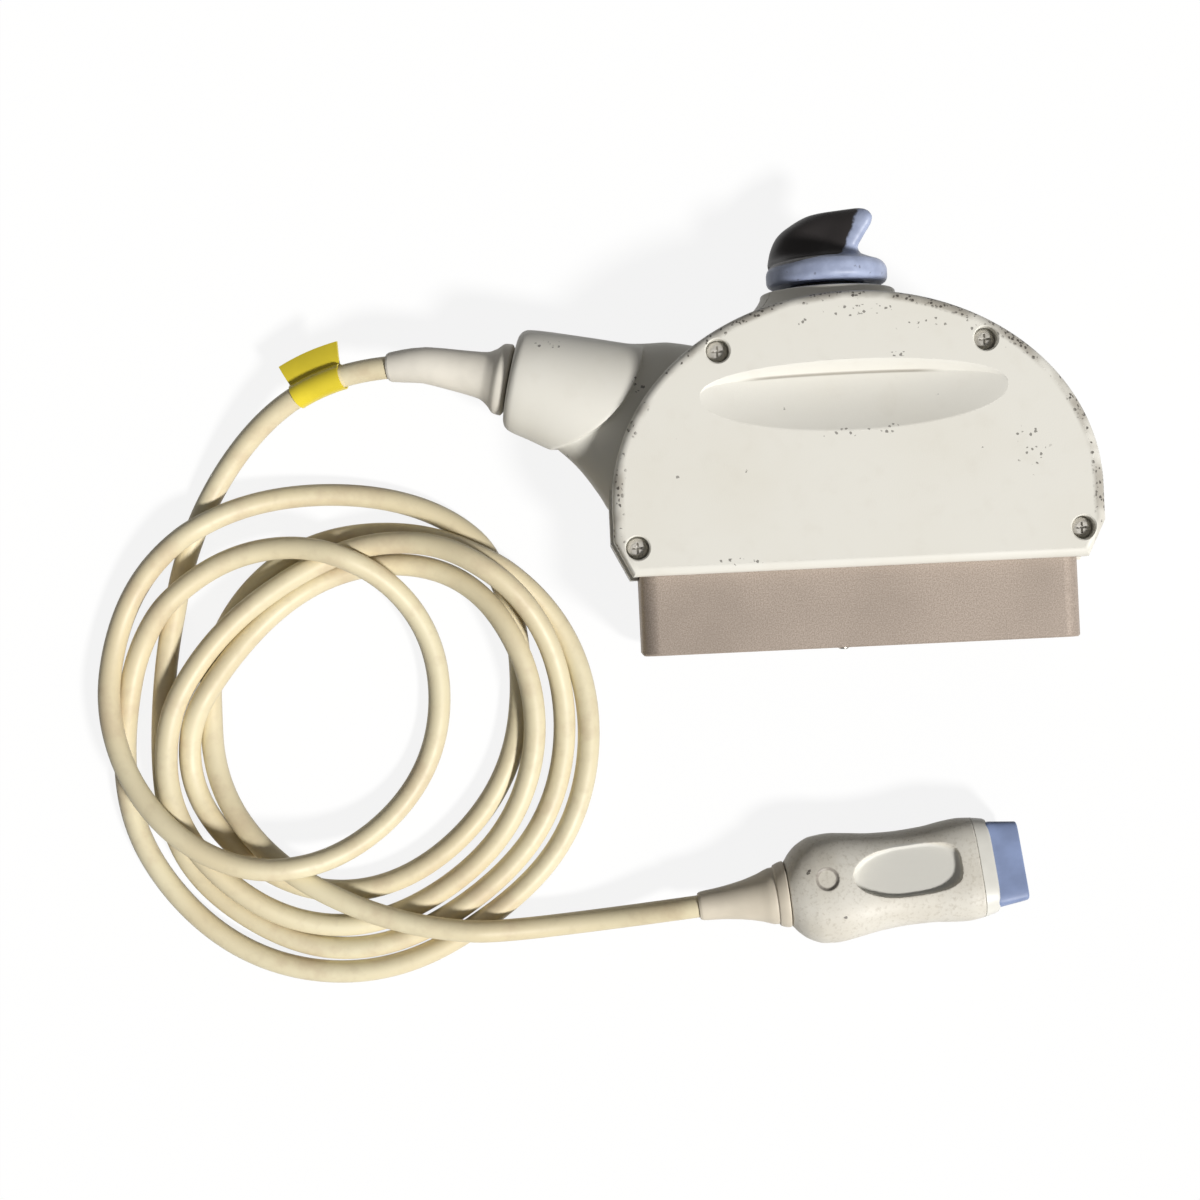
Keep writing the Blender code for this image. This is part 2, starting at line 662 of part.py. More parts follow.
def build_front_cover():
    inner_top = HOUSING_THICKNESS - WALL
    base = SPLIT_Z + GAP
    rings = [outline_ring(WALL, inner_top), outline_ring(WALL, base), outline_ring(0.0, base)]
    rings += reversed(rounded_edge(HOUSING_THICKNESS, -1, 0.0))
    cover = add_object("front_cover", skin(rings), cream_plastic)
    pocket = grip_pocket()
    join(cover, add_tool("grip_pocket", pocket))
    for i, place in enumerate(SCREW_PLACES):
        join(cover, add_tool(f"front_boss_{i + 1}", boss(place, base, inner_top + WALL / 2)))
    rib_y = block_back_y() + GAP
    reach = CLAMP_RIB_HALF_WIDTH
    rib_base = UPPER_BOARD_Z + BOARD_THICKNESS + 2.0
    rib = box((-reach, rib_y, rib_base), (reach, rib_y + CLAMP_RIB, inner_top + 1))
    join(cover, add_tool("front_clamp_rib", rib))
    join(cover, add_tool("front_collar", collar(z_above=base)))
    cut(cover, add_tool("grip_scoop", grip_scoop(0.0, GRIP_DEPTH, 2.0)))
    cut(cover, add_tool("web_clearance", skin(outlet_rings(WEB_SECTIONS, GAP))))
    cut(cover, outlet_barrel("barrel_clearance", GAP))
    opening = shroud_opening(SPLIT_Z - 1, SHROUD_HIGH_Z + GAP)
    cut(cover, add_tool("front_shroud_opening", opening))
    for i, place in enumerate(SCREW_PLACES):
        seat = screw_seat_z()
        bore = SCREW_HEAD_RADIUS + GAP + 0.2
        shank = SCREW_SHANK_RADIUS + GAP
        profile = ((0, shank), (seat - base + 1, shank), (seat - base + 1, bore), (HOUSING_THICKNESS - base + 2, bore))
        hole = turned((place[0], place[1], base - 1), (0, 0, 1), profile, 16)
        cut(cover, add_tool(f"front_screw_hole_{i + 1}", hole))
    return cover


def build_cover_screws():
    for i, place in enumerate(SCREW_PLACES):
        seat = screw_seat_z() + GAP
        profile = (
            (-SCREW_LENGTH, SCREW_SHANK_RADIUS * 0.6),
            (-SCREW_LENGTH + 1.2, SCREW_SHANK_RADIUS),
            (0, SCREW_SHANK_RADIUS),
            (0, SCREW_HEAD_RADIUS),
            (SCREW_HEAD_HEIGHT * 0.6, SCREW_HEAD_RADIUS),
            (SCREW_HEAD_HEIGHT, SCREW_HEAD_RADIUS * 0.62),
        )
        shape = turned((place[0], place[1], seat), (0, 0, 1), profile, 16)
        screw = add_object(f"cover_screw_{i + 1}", shape, steel)
        slot = SCREW_HEAD_RADIUS * 0.55
        for name, size in (("slot_x", (slot, 0.3)), ("slot_y", (0.3, slot))):
            low = (place[0] - size[0], place[1] - size[1], seat + SCREW_HEAD_HEIGHT - 0.9)
            high = (place[0] + size[0], place[1] + size[1], seat + SCREW_HEAD_HEIGHT + 1)
            cut(screw, add_tool(f"{name}_{i + 1}", box(low, high)))


def rounded_rectangle(half_width, low_z, high_z, corner, y):
    """A ring across Y with rounded corners."""
    steps = 4
    points = []
    centres = (
        (half_width - corner, high_z - corner, 0),
        (-half_width + corner, high_z - corner, 90),
        (-half_width + corner, low_z + corner, 180),
        (half_width - corner, low_z + corner, 270),
    )
    for cx, cz, start in centres:
        for i in range(steps + 1):
            angle = math.radians(start + 90 * i / steps)
            points.append((cx + corner * math.cos(angle), y, cz + corner * math.sin(angle)))
    return points


def cut_boss_notches(target):
    """Make room in a flange for the two lower pairs of screw bosses."""
    for i, place in enumerate(SCREW_PLACES[2:]):
        notch = boss(place, 0, HOUSING_THICKNESS, BOSS_RADIUS + GAP)
        cut(target, add_tool(f"{target.name}_notch_{i + 1}", notch))


def build_plug_shroud():
    def ring(inset, y):
        corner = SHROUD_CORNER - inset
        return rounded_rectangle(
            SHROUD_HALF_WIDTH - inset, SHROUD_LOW_Z + inset, SHROUD_HIGH_Z - inset, corner, y
        )

    flange_front = HOUSING_BOTTOM_Y + WALL + GAP
    flange_back = shroud_flange_back_y()
    low = WALL + GAP
    high = HOUSING_THICKNESS - WALL - GAP
    rings = [
        ring(SHROUD_CHAMFER, SHROUD_MOUTH_Y),
        ring(0.0, SHROUD_MOUTH_Y + SHROUD_CHAMFER),
        ring(0.0, flange_front),
        rounded_rectangle(SHROUD_FLANGE_HALF_WIDTH, low, high, SHROUD_CORNER, flange_front),
        rounded_rectangle(SHROUD_FLANGE_HALF_WIDTH, low, high, SHROUD_CORNER, flange_back),
        ring(SHROUD_WALL, flange_back),
        ring(SHROUD_WALL, SHROUD_MOUTH_Y),
    ]
    shroud = add_object("plug_shroud", skin(rings, "joined"), nickel)
    cut_boss_notches(shroud)
    return shroud


def comb(sign):
    """One field of contact ribs: a comb outline drawn across the block and extruded along X."""
    middle = (SHROUD_LOW_Z + SHROUD_HIGH_Z) / 2
    start = middle - COMB_PITCH * (COMB_COUNT - 1) / 2 - COMB_RIB / 2
    outline = []
    for i in range(COMB_COUNT):
        low = start + i * COMB_PITCH
        top = CONTACT_FACE_Y - COMB_HEIGHT
        root = CONTACT_FACE_Y - COMB_HEIGHT * 0.2
        outline += [(root, low), (top, low), (top, low + COMB_RIB), (root, low + COMB_RIB)]
    back = CONTACT_FACE_Y + 1.0
    outline += [(back, outline[-1][1]), (back, outline[0][1])]
    x_a = LOCK_X + sign * COMB_INNER_X
    x_b = sign * COMB_OUTER_X
    return skin([[(x, y, z) for y, z in outline] for x in (x_a, x_b)])


def build_contact_block():
    inset = SHROUD_WALL + GAP
    half = SHROUD_HALF_WIDTH - inset
    low = SHROUD_LOW_Z + inset
    high = SHROUD_HIGH_Z - inset
    corner = SHROUD_CORNER - inset
    step = shroud_flange_back_y() + GAP
    back = block_back_y()
    flange = (CONTACT_FLANGE_HALF_WIDTH, WALL + GAP, HOUSING_THICKNESS - WALL - GAP, SHROUD_CORNER)
    rings = [
        rounded_rectangle(half, low, high, corner, CONTACT_FACE_Y),
        rounded_rectangle(half, low, high, corner, step),
        rounded_rectangle(*flange, step),
        rounded_rectangle(*flange, back),
    ]
    block = add_object("contact_block", skin(rings), black_plastic)
    join(block, add_tool("contact_comb_left", comb(-1)))
    join(block, add_tool("contact_comb_right", comb(1)))
    hole = ((0, SHAFT_RADIUS + 2 * GAP), (30, SHAFT_RADIUS + 2 * GAP))
    start = lock_point(CONTACT_FACE_Y - 11)
    cut(block, add_tool("block_shaft_hole", turned(start, (0, 1, 0), hole, 24)))
    cut_boss_notches(block)
    return block


def build_boards():
    start = block_back_y() + GAP
    for name, z in (("lower_board", LOWER_BOARD_Z), ("upper_board", UPPER_BOARD_Z)):
        low = (-BOARD_HALF_WIDTH, start, z)
        high = (BOARD_HALF_WIDTH, start + BOARD_LENGTH, z + BOARD_THICKNESS)
        add_object(name, box(low, high), board_green)


def knob_face_y():
    return COLLAR_TOP_Y + 2 * GAP + WASHER_THICKNESS


def fin_ring(height, back, forward, half_back, half_tip):
    """One level of the grip fin: stout at its back and thin at its tip."""
    angle = math.radians(FIN_ANGLE)
    along = Vector((math.cos(angle), 0, math.sin(angle)))
    across = Vector((-math.sin(angle), 0, math.cos(angle)))
    centre = Vector(lock_point(knob_face_y() + KNOB_DISC + height))
    ring = []
    for a, b in superellipse(1.0, 1.0, 2.6, FIN_SEGMENTS):
        t = min(max(0.75 + 0.75 * a, 0.0), 1.0)
        half = half_back + (half_tip - half_back) * t * t * (3 - 2 * t)
        reach = (forward - back) / 2 + a * (forward + back) / 2
        ring.append(centre + along * reach + across * (b * half))
    return ring


def build_lock_knob():
    face = knob_face_y()
    profile = (
        (0, KNOB_RADIUS - KNOB_EDGE),
        (KNOB_EDGE * 0.3, KNOB_RADIUS - KNOB_EDGE * 0.3),
        (KNOB_EDGE, KNOB_RADIUS),
        (KNOB_DISC - 2 * KNOB_EDGE, KNOB_RADIUS),
        (KNOB_DISC - KNOB_EDGE * 0.6, KNOB_RADIUS - KNOB_EDGE * 0.7),
        (KNOB_DISC, KNOB_RADIUS - KNOB_EDGE * 2.2),
    )
    knob = add_object("lock_knob", turned(lock_point(face), (0, 1, 0), profile, 40), knob_plastic)
    fin = skin([fin_ring(*section) for section in FIN_SECTIONS])
    join(knob, add_tool("knob_fin", fin))
    bore = ((-1, SHAFT_RADIUS + GAP), (KNOB_BORE_DEPTH, SHAFT_RADIUS + GAP))
    cut(knob, add_tool("knob_bore", turned(lock_point(face), (0, 1, 0), bore, 24)))
    return knob


def build_lock_shaft():
    ring_back = BUSH_INNER_Y - BUSH_FLANGE - GAP
    groove = ring_back - RING_THICKNESS - 2 * GAP
    top = knob_face_y() + KNOB_BORE_DEPTH - GAP
    profile = (
        (SHAFT_TIP_Y, SHAFT_PILOT_RADIUS - 0.4),
        (SHAFT_TIP_Y + 0.4, SHAFT_PILOT_RADIUS),
        (SHAFT_TIP_Y + SHAFT_PILOT_LENGTH, SHAFT_PILOT_RADIUS),
        (SHAFT_TIP_Y + SHAFT_PILOT_LENGTH + 0.6, SHAFT_RADIUS),
        (groove, SHAFT_RADIUS),
        (groove, RING_GROOVE_RADIUS),
        (ring_back, RING_GROOVE_RADIUS),
        (ring_back, SHAFT_RADIUS),
        (top, SHAFT_RADIUS),
    )
    shaft = add_object("lock_shaft", turned(lock_point(0), (0, 1, 0), profile, 24), steel)
    pin_y = SHAFT_TIP_Y + PIN_FROM_TIP
    hole = ((-9, PIN_RADIUS + GAP), (9, PIN_RADIUS + GAP))
    cut(shaft, add_tool("shaft_pin_hole", turned(lock_point(pin_y), (0, 0, 1), hole, 16)))
    return shaft


def build_lock_fittings():
    pin_y = SHAFT_TIP_Y + PIN_FROM_TIP
    inner = SHAFT_RADIUS + GAP
    sleeve_start = SHAFT_TIP_Y + SLEEVE_FROM_TIP
    sleeve = tube_profile(sleeve_start, sleeve_start + SLEEVE_LENGTH, inner, SLEEVE_RADIUS)
    lock_sleeve = add_object("lock_sleeve", turned(lock_point(0), (0, 1, 0), sleeve, 24, "joined"), steel)
    hole = ((-9, PIN_RADIUS + GAP), (9, PIN_RADIUS + GAP))
    cut(lock_sleeve, add_tool("sleeve_pin_hole", turned(lock_point(pin_y), (0, 0, 1), hole, 16)))
    pin = (
        (-PIN_HALF_LENGTH, PIN_RADIUS - 0.4),
        (-PIN_HALF_LENGTH + 0.4, PIN_RADIUS),
        (PIN_HALF_LENGTH - 0.4, PIN_RADIUS),
        (PIN_HALF_LENGTH, PIN_RADIUS - 0.4),
    )
    add_object("lock_pin", turned(lock_point(pin_y), (0, 0, 1), pin, 16), steel)

    flange_start = BUSH_INNER_Y - GAP - BUSH_FLANGE
    bush = (
        (flange_start, inner),
        (flange_start, BUSH_FLANGE_RADIUS),
        (BUSH_INNER_Y - GAP, BUSH_FLANGE_RADIUS),
        (BUSH_INNER_Y - GAP, BUSH_RADIUS),
        (COLLAR_TOP_Y, BUSH_RADIUS),
        (COLLAR_TOP_Y, inner),
    )
    add_object("shaft_bush", turned(lock_point(0), (0, 1, 0), bush, 24, "joined"), brass)

    washer_start = COLLAR_TOP_Y + GAP
    washer = tube_profile(washer_start, washer_start + WASHER_THICKNESS, inner, WASHER_RADIUS)
    add_object("thrust_washer", turned(lock_point(0), (0, 1, 0), washer, 24, "joined"), black_plastic)

    ring_start = flange_start - GAP - RING_THICKNESS
    ring_profile = tube_profile(ring_start, ring_start + RING_THICKNESS, RING_GROOVE_RADIUS + GAP, RING_RADIUS)
    ring = add_object("retaining_ring", turned(lock_point(0), (0, 1, 0), ring_profile, 24, "joined"), steel)
    slot = RING_GROOVE_RADIUS * 0.75
    low = (LOCK_X - slot, ring_start - 1, LOCK_Z - RING_RADIUS - 1)
    high = (LOCK_X + slot, ring_start + RING_THICKNESS + 1, LOCK_Z)
    cut(ring, add_tool("ring_slot", box(low, high)))


def smooth_curve(points, per_span=12):
    """A centripetal Catmull-Rom curve through points."""
    points = [Vector(p) for p in points]
    points = [points[0] * 2 - points[1]] + points + [points[-1] * 2 - points[-2]]
    curve = []
    for a, b, c, d in zip(points, points[1:], points[2:], points[3:]):
        t1 = math.sqrt((b - a).length)
        t2 = t1 + math.sqrt((c - b).length)
        t3 = t2 + math.sqrt((d - c).length)
        for i in range(per_span):
            t = t1 + (t2 - t1) * i / per_span
            ab = a.lerp(b, t / t1)
            bc = b.lerp(c, (t - t1) / (t2 - t1))
            cd = c.lerp(d, (t - t2) / (t3 - t2))
            abc = ab.lerp(bc, t / t2)
            bcd = bc.lerp(cd, (t - t1) / (t3 - t1))
            curve.append(abc.lerp(bcd, (t - t1) / (t2 - t1)))
    curve.append(points[-2])
    return curve


class Path:
    """Places along a curve by the distance from its start."""

    def __init__(self, points):
        self.points = points
        self.marks = [0.0]
        for a, b in zip(points, points[1:]):
            self.marks.append(self.marks[-1] + (b - a).length)
        self.length = self.marks[-1]

    def at(self, distance):
        distance = min(max(distance, 0.0), self.length)
        i = 0
        while i < len(self.marks) - 2 and self.marks[i + 1] < distance:
            i += 1
        share = (distance - self.marks[i]) / (self.marks[i + 1] - self.marks[i])
        return self.points[i].lerp(self.points[i + 1], share)

    def tangent(self, distance):
        return (self.at(distance + 0.8) - self.at(distance - 0.8)).normalized()

    def nearest(self, place):
        place = Vector(place)
        best = min(range(len(self.points)), key=lambda i: (self.points[i] - place).length)
        return self.marks[best]


def frame_at(path, distance):
    """A point of a path with unit vectors to its left and upwards across it."""
    tangent = path.tangent(distance)
    left = Vector((0, 0, 1)).cross(tangent).normalized()
    return path.at(distance), left, tangent.cross(left)


def finer(profile, step):
    """The same profile with stations no further apart than a step."""
    result = [profile[0]]
    for (s0, r0), (s1, r1) in zip(profile, profile[1:]):
        parts = max(1, math.ceil((s1 - s0) / step))
        result += [(s0 + (s1 - s0) * i / parts, r0 + (r1 - r0) * i / parts) for i in range(1, parts + 1)]
    return result


def sleeve(path, profile, start, count):
    """A sleeve round the cable that bends with it, its outside turned from a profile."""
    outer = []
    inner = []
    for distance, radius in finer(profile, CABLE_STEP_IN_RELIEF):
        centre, left, up = frame_at(path, start + distance)
        outer.append(circle(centre, left, up, radius, count))
        inner.append(circle(centre, left, up, CABLE_BORE, count))
    return skin(outer + inner[::-1], "joined")


def relaxed(points, spacing, passes, held):
    """The same curve with its sharpest bends eased, apart from the stretch held at each end."""
    path = Path(points)
    count = round(path.length / spacing)
    line = np.array([path.at(path.length * i / count) for i in range(count + 1)])
    first = round(held / spacing)
    free = slice(first, count - first)
    for _ in range(passes):
        line[free] = eased(line)[free]
    parted(line, free)
    return [Vector(place) for place in line]


def eased(line):
    """Each place drawn halfway to the middle of its two neighbours."""
    result = line.copy()
    result[1:-1] = line[1:-1] * 0.5 + (line[:-2] + line[2:]) * 0.25
    return result


def parted(line, free):
    """Push turns of the cable that lie too close to each other apart, and keep them on the table."""
    index = np.arange(len(line))
    separate = np.abs(index[:, None] - index[None, :]) > CABLE_NEIGHBOURS
    for _ in range(CABLE_PARTING_PASSES):
        offset = line[:, None] - line[None, :]
        distance = np.linalg.norm(offset, axis=2)
        overlap = np.where(separate, np.maximum(CABLE_CLEARANCE - distance, 0.0), 0.0)
        touching = np.maximum((overlap > 0).sum(axis=1), 1)
        push = (offset * (overlap / np.maximum(distance, 1e-6))[..., None]).sum(axis=1)
        line[free] = eased(line + push / touching[:, None] * 1.2)[free]
        line[:, 2] = np.maximum(line[:, 2], CABLE_RADIUS + CABLE_LIFT)


def cable_route():
    """The route's points, with straight ends along the plug's outlet and the transducer."""
    axis = outlet_axis()
    end = Vector(OUTLET_END)
    leaving = [end + axis * s for s in (-CABLE_STRAIGHT, 0.0, CABLE_STRAIGHT)]
    relief = PROBE_BOOT_PROFILE[-1][0]
    probe = probe_frame()
    entering = [probe @ Vector((-s, 0, 0)) for s in (relief, relief / 2, 0.0, -CABLE_INTO_PROBE)]
    return leaving + list(CABLE_ROUTE) + entering


def cable_places(path):
    """Points along the cable, closer together where it bends more and inside its reliefs."""
    relief_end = path.nearest(TAPE_CENTRE) + TAPE_LENGTH / 2 + CABLE_STEP_IN_RELIEF
    relief_start = path.length - 2 * PROBE_BOOT_PROFILE[-1][0]
    places = [path.at(0.0)]
    distance = 0.0
    while distance < path.length:
        ahead = path.at(distance + CABLE_LONGEST_STEP)
        chord = ahead - path.at(distance)
        middle = path.at(distance + CABLE_LONGEST_STEP / 2)
        sag = max((middle - path.at(distance) - chord / 2).length, 1e-3)
        step = min(CABLE_LONGEST_STEP, CABLE_LONGEST_STEP * math.sqrt(CABLE_SAG / sag))
        if distance < relief_end or distance + step > relief_start:
            step = CABLE_STEP_IN_RELIEF
        distance += step
        places.append(path.at(distance))
    return places


def build_cable(path):
    data = bpy.data.curves.new("cable", "CURVE")
    data.dimensions = "3D"
    data.bevel_depth = CABLE_RADIUS * MM
    data.bevel_resolution = 2
    data.use_fill_caps = True
    spline = data.splines.new("POLY")
    places = cable_places(path)
    spline.points.add(len(places) - 1)
    for point, place in zip(spline.points, places):
        point.co = (*(place * MM), 1.0)
    data.materials.append(cable_jacket)
    obj = bpy.data.objects.new("cable", data)
    bpy.context.scene.collection.objects.link(obj)
    return obj


def build_tape_flag(path):
    """Tape wrapped round the cable, its ends pressed together as a flag."""
    rings = []
    inner_rings = []
    wrap = CABLE_RADIUS + 1.1
    inner_radius = CABLE_RADIUS + 0.7
    underside = wrap - 2 * TAPE_THICKNESS
    first = math.degrees(math.asin(underside / wrap))
    sweep = 270 + first
    angles = [first - sweep * k / 15 for k in range(16)]
    closing = [first + (90 - first) * 0.66, first + (90 - first) * 0.33]
    for i in range(TAPE_SEGMENTS):
        distance = path.nearest(TAPE_CENTRE) + TAPE_LENGTH * (i / (TAPE_SEGMENTS - 1) - 0.5)
        centre, left, up = frame_at(path, distance)

        def on_circle(radius, degrees):
            angle = math.radians(degrees)
            return centre + left * (radius * math.cos(angle)) + up * (radius * math.sin(angle))

        ring = [on_circle(wrap, angle) for angle in angles]
        ring += [centre + left * TAPE_REACH + up * wrap, centre + left * TAPE_REACH + up * underside]
        rings.append(ring)
        inner_rings.append([on_circle(inner_radius, angle) for angle in angles + closing])
    return add_object("tape_flag", skin(rings + inner_rings[::-1], "joined"), yellow_tape)


def build_plug_boot(path):
    start = path.nearest(OUTLET_END)
    boot = sleeve(path, PLUG_BOOT_PROFILE, start, BOOT_SEGMENTS)
    add_object("plug_boot", boot, boot_rubber)
    room = BARREL_SECTIONS[3][3] - WALL - 1.0
    ferrule_start = -PLUG_BOOT_PROFILE[0][0] + GAP
    ferrule = tube_profile(ferrule_start, ferrule_start + FERRULE_LENGTH, CABLE_BORE, room - 1.2)
    shape = turned(OUTLET_END, -outlet_axis(), ferrule, BOOT_SEGMENTS, "joined")
    add_object("cable_ferrule", shape, steel)


def shell_ring(section, inset):
    """Points round one section of the transducer, in its own frame."""
    forward, half_width, half_thickness, power = section
    ring = superellipse(half_width - inset, half_thickness - inset, power, SHELL_SEGMENTS)
    return [(forward, a, b) for a, b in ring]


def probe_frame():
    """The transducer's place: rolled over, turned in plan and lifted until it rests on the table."""
    roll = Matrix.Rotation(math.radians(PROBE_ROLL), 4, "X")
    lowest = 0.0
    for section in SHELL_SECTIONS:
        for point in shell_ring(section, 0.0):
            lowest = min(lowest, (roll @ Vector(point)).z)
    yaw = Matrix.Rotation(math.radians(PROBE_YAW), 4, "Z")
    place = Matrix.Translation((PROBE_REAR[0], PROBE_REAR[1], -lowest))
    return place @ yaw @ roll


def place_on_probe(builder):
    bmesh.ops.transform(builder, matrix=probe_frame(), verts=builder.verts)
    return builder


def half_body(sign, inset, ends=0.0):
    """One half of the handle's body, cut along its middle plane."""
    half = SHELL_SEGMENTS // 2
    rings = []
    for i, (forward, half_width, half_thickness, power) in enumerate(SHELL_SECTIONS):
        if i == 0:
            forward -= ends
        if i == len(SHELL_SECTIONS) - 1:
            forward += ends
        full = superellipse(half_width - inset, half_thickness - inset, power, SHELL_SEGMENTS)
        foot = GAP / 2 - ends
        arc = [(forward, a, sign * (max(b, 0.0) + GAP / 2)) for a, b in full[: half + 1]]
        rings.append([(forward, arc[0][1], sign * foot)] + arc + [(forward, arc[-1][1], sign * foot)])
    return skin(rings)


def thumb_ring(z, share, grow=0.0):
    """The thumb rest's outline at one level."""
    ring = []
    for i in range(THUMB_SEGMENTS):
        angle = 2 * math.pi * i / THUMB_SEGMENTS
        c = math.cos(angle)
        s = math.sin(angle)
        power = 3.4 if c > 0 else 2.1
        x = (THUMB_HALF_LENGTH * share + grow) * math.copysign(abs(c) ** (2 / power), c)
        y = (THUMB_HALF_WIDTH * share + grow) * math.copysign(abs(s) ** (2 / power), s)
        ring.append((THUMB_CENTRE[0] + x, THUMB_CENTRE[1] + y, z))
    return ring


def build_handle():
    top = SHELL_SECTIONS[3][2]
    for name, sign in (("handle_shell_upper", 1), ("handle_shell_lower", -1)):
        shell = add_object(name, place_on_probe(half_body(sign, 0.0)), handle_plastic)
        room = add_tool(f"{name}_room", place_on_probe(half_body(sign, SHELL_WALL, 1.0)))
        if sign > 0:
            floor = THUMB_FLOOR_Z - THUMB_PAN_WALL
            pan = skin([thumb_ring(floor, 0.88, THUMB_PAN_WALL), thumb_ring(top + 2, 0.88, THUMB_PAN_WALL)])
            cut(room, add_tool("thumb_pan", place_on_probe(pan)))
        cut(shell, room)
        if sign > 0:
            levels = ((top + 3, 1.0), (THUMB_FLOOR_Z + 1.4, 1.0), (THUMB_FLOOR_Z + 0.5, 0.95), (THUMB_FLOOR_Z, 0.88))
            rest = skin([thumb_ring(z, share) for z, share in levels])
            cut(shell, add_tool("thumb_rest", place_on_probe(rest)))
            dimple = ((-DIMPLE_DEPTH, DIMPLE_RADIUS * 0.8), (0.0, DIMPLE_RADIUS), (2.0, DIMPLE_RADIUS))
            place = (DIMPLE_PLACE[0], DIMPLE_PLACE[1], top - 0.1)
            cut(shell, add_tool("dimple", place_on_probe(turned(place, (0, 0, 1), dimple, 20))))


def section_ring(forward, size, inset=0.0):
    return [(forward, a, b) for a, b in superellipse(size[0] - inset, size[1] - inset, size[2], SHELL_SEGMENTS)]


def build_nose():
    last = SHELL_SECTIONS[-1]
    front = last[0]
    outside = last[1:]
    start = front + GAP
    end = start + NOSE_LENGTH
    skirt = front - NOSE_SKIRT
    skirt_inset = SHELL_WALL + GAP + 0.4
    window = LENS_ROOT
    rings = [
        section_ring(end, NOSE_END, 0.6),
        section_ring(end - 0.6, NOSE_END),
        section_ring(start, outside),
        section_ring(start, outside, skirt_inset),
        section_ring(skirt, outside, skirt_inset),
        section_ring(skirt, window, NOSE_RIM),
        section_ring(start + 1.2, window, NOSE_RIM),
        section_ring(start + 1.2, window, -GAP),
        section_ring(end, window, -GAP),
    ]
    add_object("nose_frame", place_on_probe(skin(rings, "joined")), nose_plastic)

    seat = start + 1.2 + GAP
    rings = [
        section_ring(seat, window),
        section_ring(end + 0.6, window),
        section_ring(end + LENS_REACH - 1.2, LENS_TIP, -0.4),
        section_ring(end + LENS_REACH - 0.4, LENS_TIP, 0.3),
        section_ring(end + LENS_REACH, LENS_TIP, LENS_CROWN),
    ]
    add_object("acoustic_lens", place_on_probe(skin(rings)), lens_blue)

    room = (window[0] - NOSE_RIM - GAP, window[1] - NOSE_RIM - GAP)

    def block(first, last, wide, thick):
        half_width = room[0] * wide
        return place_on_probe(box((first, -half_width, -thick), (last, half_width, thick)))

    array_end = seat - GAP
    backing_end = array_end - ARRAY_LENGTH - GAP
    flex_end = backing_end - BACKING_LENGTH - GAP
    array = block(array_end - ARRAY_LENGTH, array_end, ARRAY_SHARE[0], room[1] * ARRAY_SHARE[1])
    backing = block(backing_end - BACKING_LENGTH, backing_end, BACKING_SHARE[0], room[1] * BACKING_SHARE[1])
    flex = block(flex_end - FLEX_LENGTH, flex_end, FLEX_SHARE, FLEX_THICKNESS / 2)
    add_object("array_block", array, ceramic)
    add_object("backing_block", backing, black_plastic)
    add_object("flex_circuit", flex, flex_amber)


def build_probe_boot():
    outer = [(-distance, radius) for distance, radius in PROBE_BOOT_PROFILE]
    profile = outer + [(x, CABLE_BORE) for x, _ in outer[::-1]]
    shape = turned((0, 0, 0), (1, 0, 0), profile, BOOT_SEGMENTS + 4, "joined")
    add_object("probe_boot", place_on_probe(shape), boot_rubber)
    start = -PROBE_BOOT_PROFILE[0][0] + GAP
    ferrule = tube_profile(start, start + FERRULE_LENGTH, CABLE_BORE, SHELL_SECTIONS[3][2] - SHELL_WALL - 1.2)
    shape = turned((0, 0, 0), (1, 0, 0), ferrule, BOOT_SEGMENTS, "joined")
    add_object("probe_ferrule", place_on_probe(shape), steel)


clear_scene()
tool_material = material("tool", (0.8, 0.2, 0.2), 0.5)
cream_plastic = material("cream_plastic", (0.80, 0.78, 0.70), 0.42)
handle_plastic = material("handle_plastic", (0.72, 0.68, 0.58), 0.5)
nose_plastic = material("nose_plastic", (0.84, 0.82, 0.76), 0.4)
knob_plastic = material("knob_plastic", (0.42, 0.45, 0.55), 0.38)
black_plastic = material("black_plastic", (0.03, 0.03, 0.035), 0.5)
boot_rubber = material("boot_rubber", (0.74, 0.68, 0.56), 0.6)
cable_jacket = material("cable_jacket", (0.76, 0.68, 0.48), 0.45)
yellow_tape = material("yellow_tape", (0.83, 0.68, 0.05), 0.4)
lens_blue = material("lens_blue", (0.27, 0.32, 0.52), 0.45)
nickel = material("nickel", (0.55, 0.51, 0.46), 0.38, 1.0)
steel = material("steel", (0.62, 0.61, 0.6), 0.3, 1.0)
brass = material("brass", (0.70, 0.55, 0.28), 0.35, 1.0)
ceramic = material("ceramic", (0.35, 0.33, 0.3), 0.6)
board_green = material("board_green", (0.05, 0.22, 0.1), 0.5)
flex_amber = material("flex_amber", (0.55, 0.28, 0.05), 0.4)

build_rear_cover()
build_front_cover()
build_cover_screws()
build_plug_shroud()
build_contact_block()
build_boards()
build_lock_knob()
build_lock_shaft()
build_lock_fittings()
held_ends = CABLE_INTO_PROBE + PROBE_BOOT_PROFILE[-1][0] + 2 * CABLE_SPACING
cable_line = relaxed(smooth_curve(cable_route()), CABLE_SPACING, CABLE_SMOOTHING, held_ends)
cable_path = Path(cable_line)
build_cable(cable_path)
build_plug_boot(cable_path)
build_tape_flag(cable_path)
build_handle()
build_nose()
build_probe_boot()
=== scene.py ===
"""Looks of an ultrasound transducer with its cable and system plug, lying on a table and seen from above."""

import json
import math

import bpy
import numpy as np
from mathutils import Matrix, Vector

